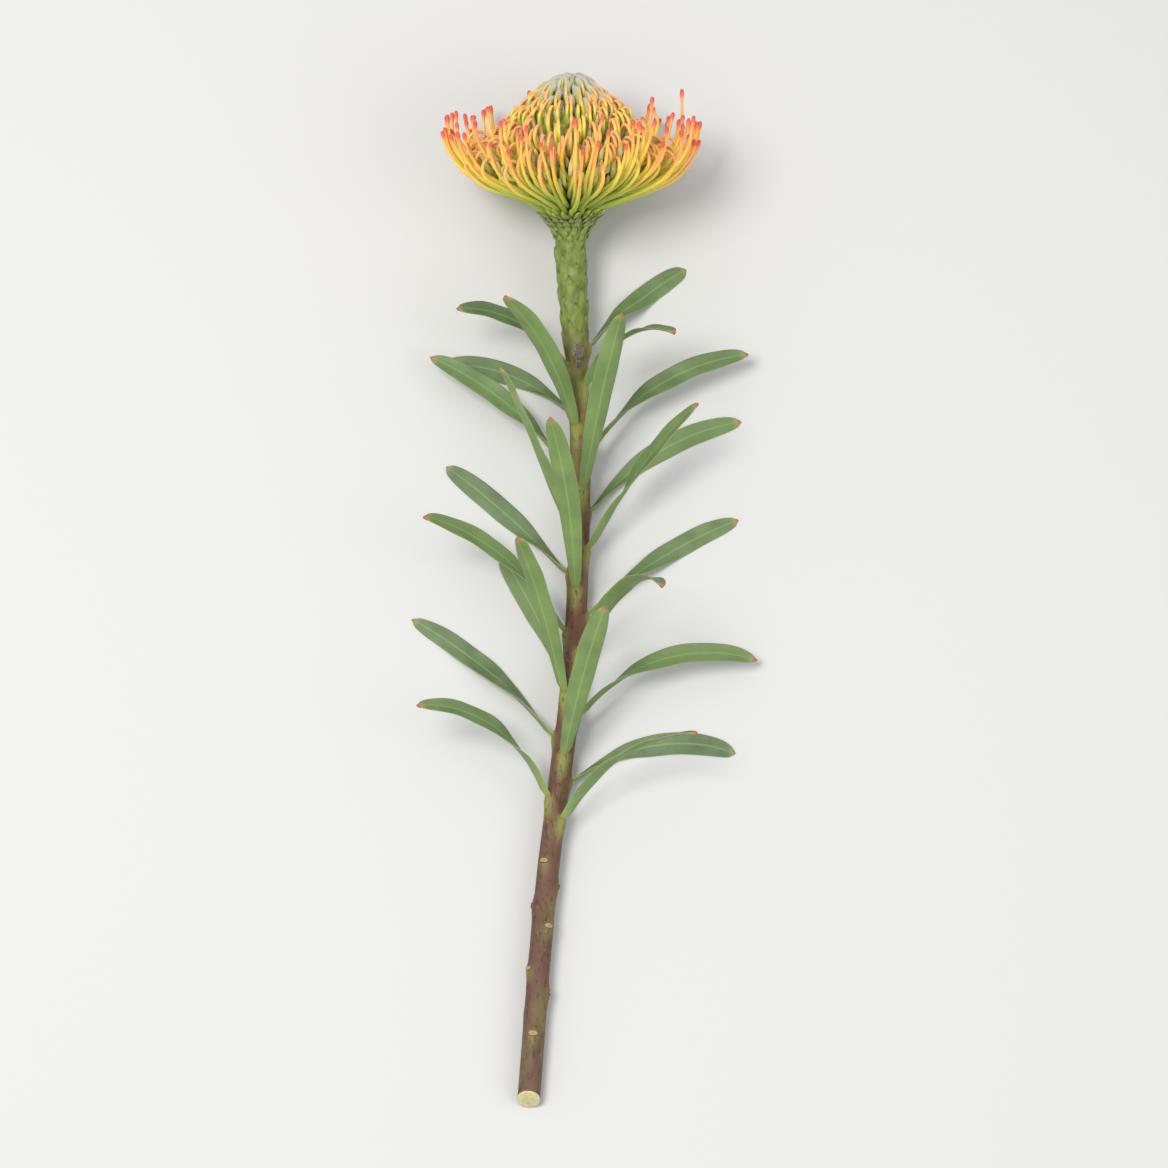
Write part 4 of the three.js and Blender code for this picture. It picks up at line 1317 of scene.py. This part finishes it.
def leaf_rib(index):
    """The places of a leaf's rib, and the sideways direction of its blade at each of them."""
    below, turn = leaf_feet[index]
    centre, along, outward = stem_station(below, turn)
    size = mix(0.76, 1, smooth(0, 7, index)) * (1 + 0.08 * vary(index, 11))
    step_length = LEAF_LENGTH * size / LEAF_STEPS
    start = math.radians(38 + 8 * vary(index, 12))
    bend = math.radians(48 + 34 * vary(index, 13))
    face_up = smooth(0.35, 1.4, abs(turn)) * (0.85 + 0.15 * vary(index, 14))
    droop = 6 + 4 * vary(index, 15)
    sweep = math.radians(24) * vary(index, 16)
    sideways = along.cross(outward)
    places = [centre + outward * (stem_radius(below) + 0.8)]
    directions = []
    for step in range(LEAF_STEPS):
        share = (step + 0.5) / LEAF_STEPS
        angle = start + bend * share
        direction = along * math.cos(angle) + outward * math.sin(angle) + sideways * math.tan(sweep * share)
        directions.append(direction.normalized())
        places.append(places[step] + directions[step] * step_length)
    directions.append(directions[-1])
    acrosses = []
    for step, direction in enumerate(directions):
        share = step / LEAF_STEPS
        level = Vector((0, 0, 1)).cross(direction).normalized()
        acrosses.append(sideways.lerp(level, face_up * smooth(0, 0.6, share)).normalized())
        places[step].z -= droop * share * share
    return places, directions, acrosses


# %% Bend a leaf
def bend_leaf(bundle, index):
    places, directions, acrosses = leaf_rib(index)
    outward = stem_station(*leaf_feet[index])[2]
    rib = smooth_line(places)
    stations = []
    for ring in range(LEAF_RINGS):
        share = (ring / (LEAF_RINGS - 1)) ** 0.92
        step = min(share * LEAF_STEPS, LEAF_STEPS - 0.001)
        low = int(step)
        across = acrosses[low].lerp(acrosses[low + 1], step - low).normalized()
        direction = directions[low].lerp(directions[low + 1], step - low).normalized()
        face = direction.cross(across).normalized()
        middle = place_on(rib, share)
        sunk = 1 - smooth(0, 0.07, share)
        middle = middle - outward * (2.4 * sunk * sunk) - direction * (1.2 if ring == 0 else 0)
        stations.append((middle, across, face, leaf_half_width(share), share))
    vertices, layers = add_copy(bundle, leaf_tube)
    for vertex in vertices:
        x, y, height = vertex.co
        middle, across, face, half, share = stations[ring_of(vertex, LEAF_RINGS)]
        reach = math.hypot(x, y)
        trough = half * 0.22 * x * x * reach
        swell = 0.5 * smooth(0.975, 0.995, share)
        rib_swell = 0.35 * math.exp(-(x / 0.12) ** 2) * (1 - share)
        foot_swell = 0.35 * (1 - smooth(0, 0.1, share))
        thick = 0.42 + swell + (rib_swell if y < 0 else 0) + foot_swell
        wave = 0.25 * math.sin(share * 23 + index * 2.1) * abs(x) ** 3 * smooth(0.1, 0.5, share)
        point = middle + across * (x * half) + face * (trough + y * thick + wave)
        if is_pole(vertex) and height > 1:
            point += directions[-1] * 0.9
        lift(point, 0.5 if y >= 0 else 0.5 - thick)
        point.z = max(point.z, 0.02 if y < 0 else 0.3)
        vertex.co = point
        mark(vertex, layers, (share, x * reach, vary(index, 47), 1 if y > 0 else -1))


# %% [markdown]
# The upper face is a matt sage green and the lower one brighter. Fine veins run lengthwise, the margin is
# pale, the foot is yellow-green, and the blunt tip carries a small orange-red callus.

# %% Paint the leaves
leaf_skin, tree, shader = plant_material("leathery_leaf", 0.5, 0.1)
along = attribute(tree, "along")
across = attribute(tree, "around")
off_rib = do_math(tree, "ABSOLUTE", across)
face_noise = object_noise(tree, 9)
upper = add_ramp(tree, face_noise, [(0.3, "#495f3b"), (0.7, "#637a50")])
lower = add_ramp(tree, face_noise, [(0.3, "#5a7340"), (0.7, "#768d50")])
two_faced = blend_colours(tree, rescale(tree, attribute(tree, "kind"), -1, 1, 0, 1), lower, upper)
own_tint = rescale(tree, attribute(tree, "shade"), -1, 1, 0, 0.5)
leaf_green = blend_colours(tree, own_tint, two_faced, "#6f8a48")
vein_place = do_math(tree, "MULTIPLY_ADD", face_noise, 5, do_math(tree, "MULTIPLY", across, 46))
vein_waves = do_math(tree, "SINE", vein_place)
veined = blend_colours(tree, rescale(tree, vein_waves, 0.3, 1, 0, 0.08), leaf_green, "#8aa870")
ribbed = blend_colours(tree, rescale(tree, off_rib, 0.12, 0.02, 0, 0.3), veined, "#9fb56c")
edged = blend_colours(tree, rescale(tree, off_rib, 0.95, 1, 0, 0.5), ribbed, "#aeae74")
footed = blend_colours(tree, rescale(tree, along, 0.07, 0, 0, 0.7), edged, "#9da64a")
tip_place = own_place(tree, 0.004)
blushed = blend_colours(tree, rescale(tree, tip_place, 0.955, 0.988, 0, 0.45), footed, "#a8955a")
tipped = blend_colours(tree, rescale(tree, tip_place, 0.986, 0.996, 0, 0.8), blushed, "#a85c3c")
paint_skin(tree, shader, tipped)
add_bump(tree, shader, do_math(tree, "MULTIPLY_ADD", vein_waves, 0.4, object_noise(tree, 0.8)), 0.03)

# %% Make the leaves
for index in range(LEAVES):
    leaf_bundle = new_bundle()
    bend_leaf(leaf_bundle, index)
    bmesh.ops.recalc_face_normals(leaf_bundle, faces=leaf_bundle.faces)
    finish_piece(f"leaf_blade_{index + 1:02d}", leaf_bundle, leaf_skin, "leaf", f"leaf_{index + 1:02d}")

# %% [markdown]
# ## Side buds
#
# Close to the upper leaves sit small dark side buds, woolly eggs wrapped in scales. Each is one short tube
# with a spiral of small scales and short hairs on it.

# %% Shape the side buds
SIDE_BUDS = ((57, 5), (70, -58), (95, 28))
SIDE_SHARES = [0, 0.1, 0.2, 0.3, 0.42, 0.55, 0.68, 0.8, 0.9, 1]
SIDE_WIDTHS = [(0, 0.36), (0.2, 0.42), (0.42, 0.92), (0.68, 0.86), (0.9, 0.42), (1, 0.12)]
SIDE_RADIUS = 2.1
SIDE_LENGTH = 7
SIDE_SCALES = 26
side_tube = straight_tube(12, len(SIDE_SHARES))
side_hairs = new_bundle()


def side_radius(share):
    return SIDE_RADIUS * table_value(SIDE_WIDTHS, share)


def bend_side_bud(bundle, below, turn):
    centre, along, outward = stem_station(below, turn)
    sideways = along.cross(outward)
    direction = (along + outward * 0.5).normalized()
    facing = direction.cross(sideways)
    root = centre + outward * (stem_radius(below) + 1.06)
    centres = [root + direction * (SIDE_LENGTH * share - (1.4 if share == 0 else 0)) for share in SIDE_SHARES]
    radii = [side_radius(share) for share in SIDE_SHARES]
    bend_tube(bundle, side_tube, centres, radii, sideways, SIDE_SHARES, 0)
    for index in range(SIDE_SCALES):
        share = mix(0.3, 0.86, (index + 0.5) / SIDE_SCALES)
        away = facing * math.cos(index * GOLDEN_ANGLE) + sideways * math.sin(index * GOLDEN_ANGLE)
        foot = root + direction * (SIDE_LENGTH * share) + away * side_radius(share)
        add_scale(bundle, foot, (direction - away * 0.25).normalized(), away, 2.1, 1.5, 0.35, 0)
        add_tuft(side_hairs, short_tuft, foot, direction, 0.5, vary(index, 77))


# %% Make the side buds
side_skin, tree, shader = plant_material("side_bud_wool", 0.85, 0.0, sheen=0.6)
side_colour = add_ramp(tree, object_noise(tree, 0.9), [
    (0.3, "#3f352f"), (0.55, "#6d6056"), (0.75, "#9a9a86"),
])
paint_skin(tree, shader, side_colour, 0.4, 0.2)
for number, (below, degrees) in enumerate(SIDE_BUDS, 1):
    side_bundle = new_bundle()
    bend_side_bud(side_bundle, below, math.radians(degrees))
    finish_piece(f"side_bud_{number}_fine", side_bundle, side_skin, "side_bud", f"side_bud_{number}")
finish_piece("side_bud_hairs", side_hairs, hair_skin, "side_bud")
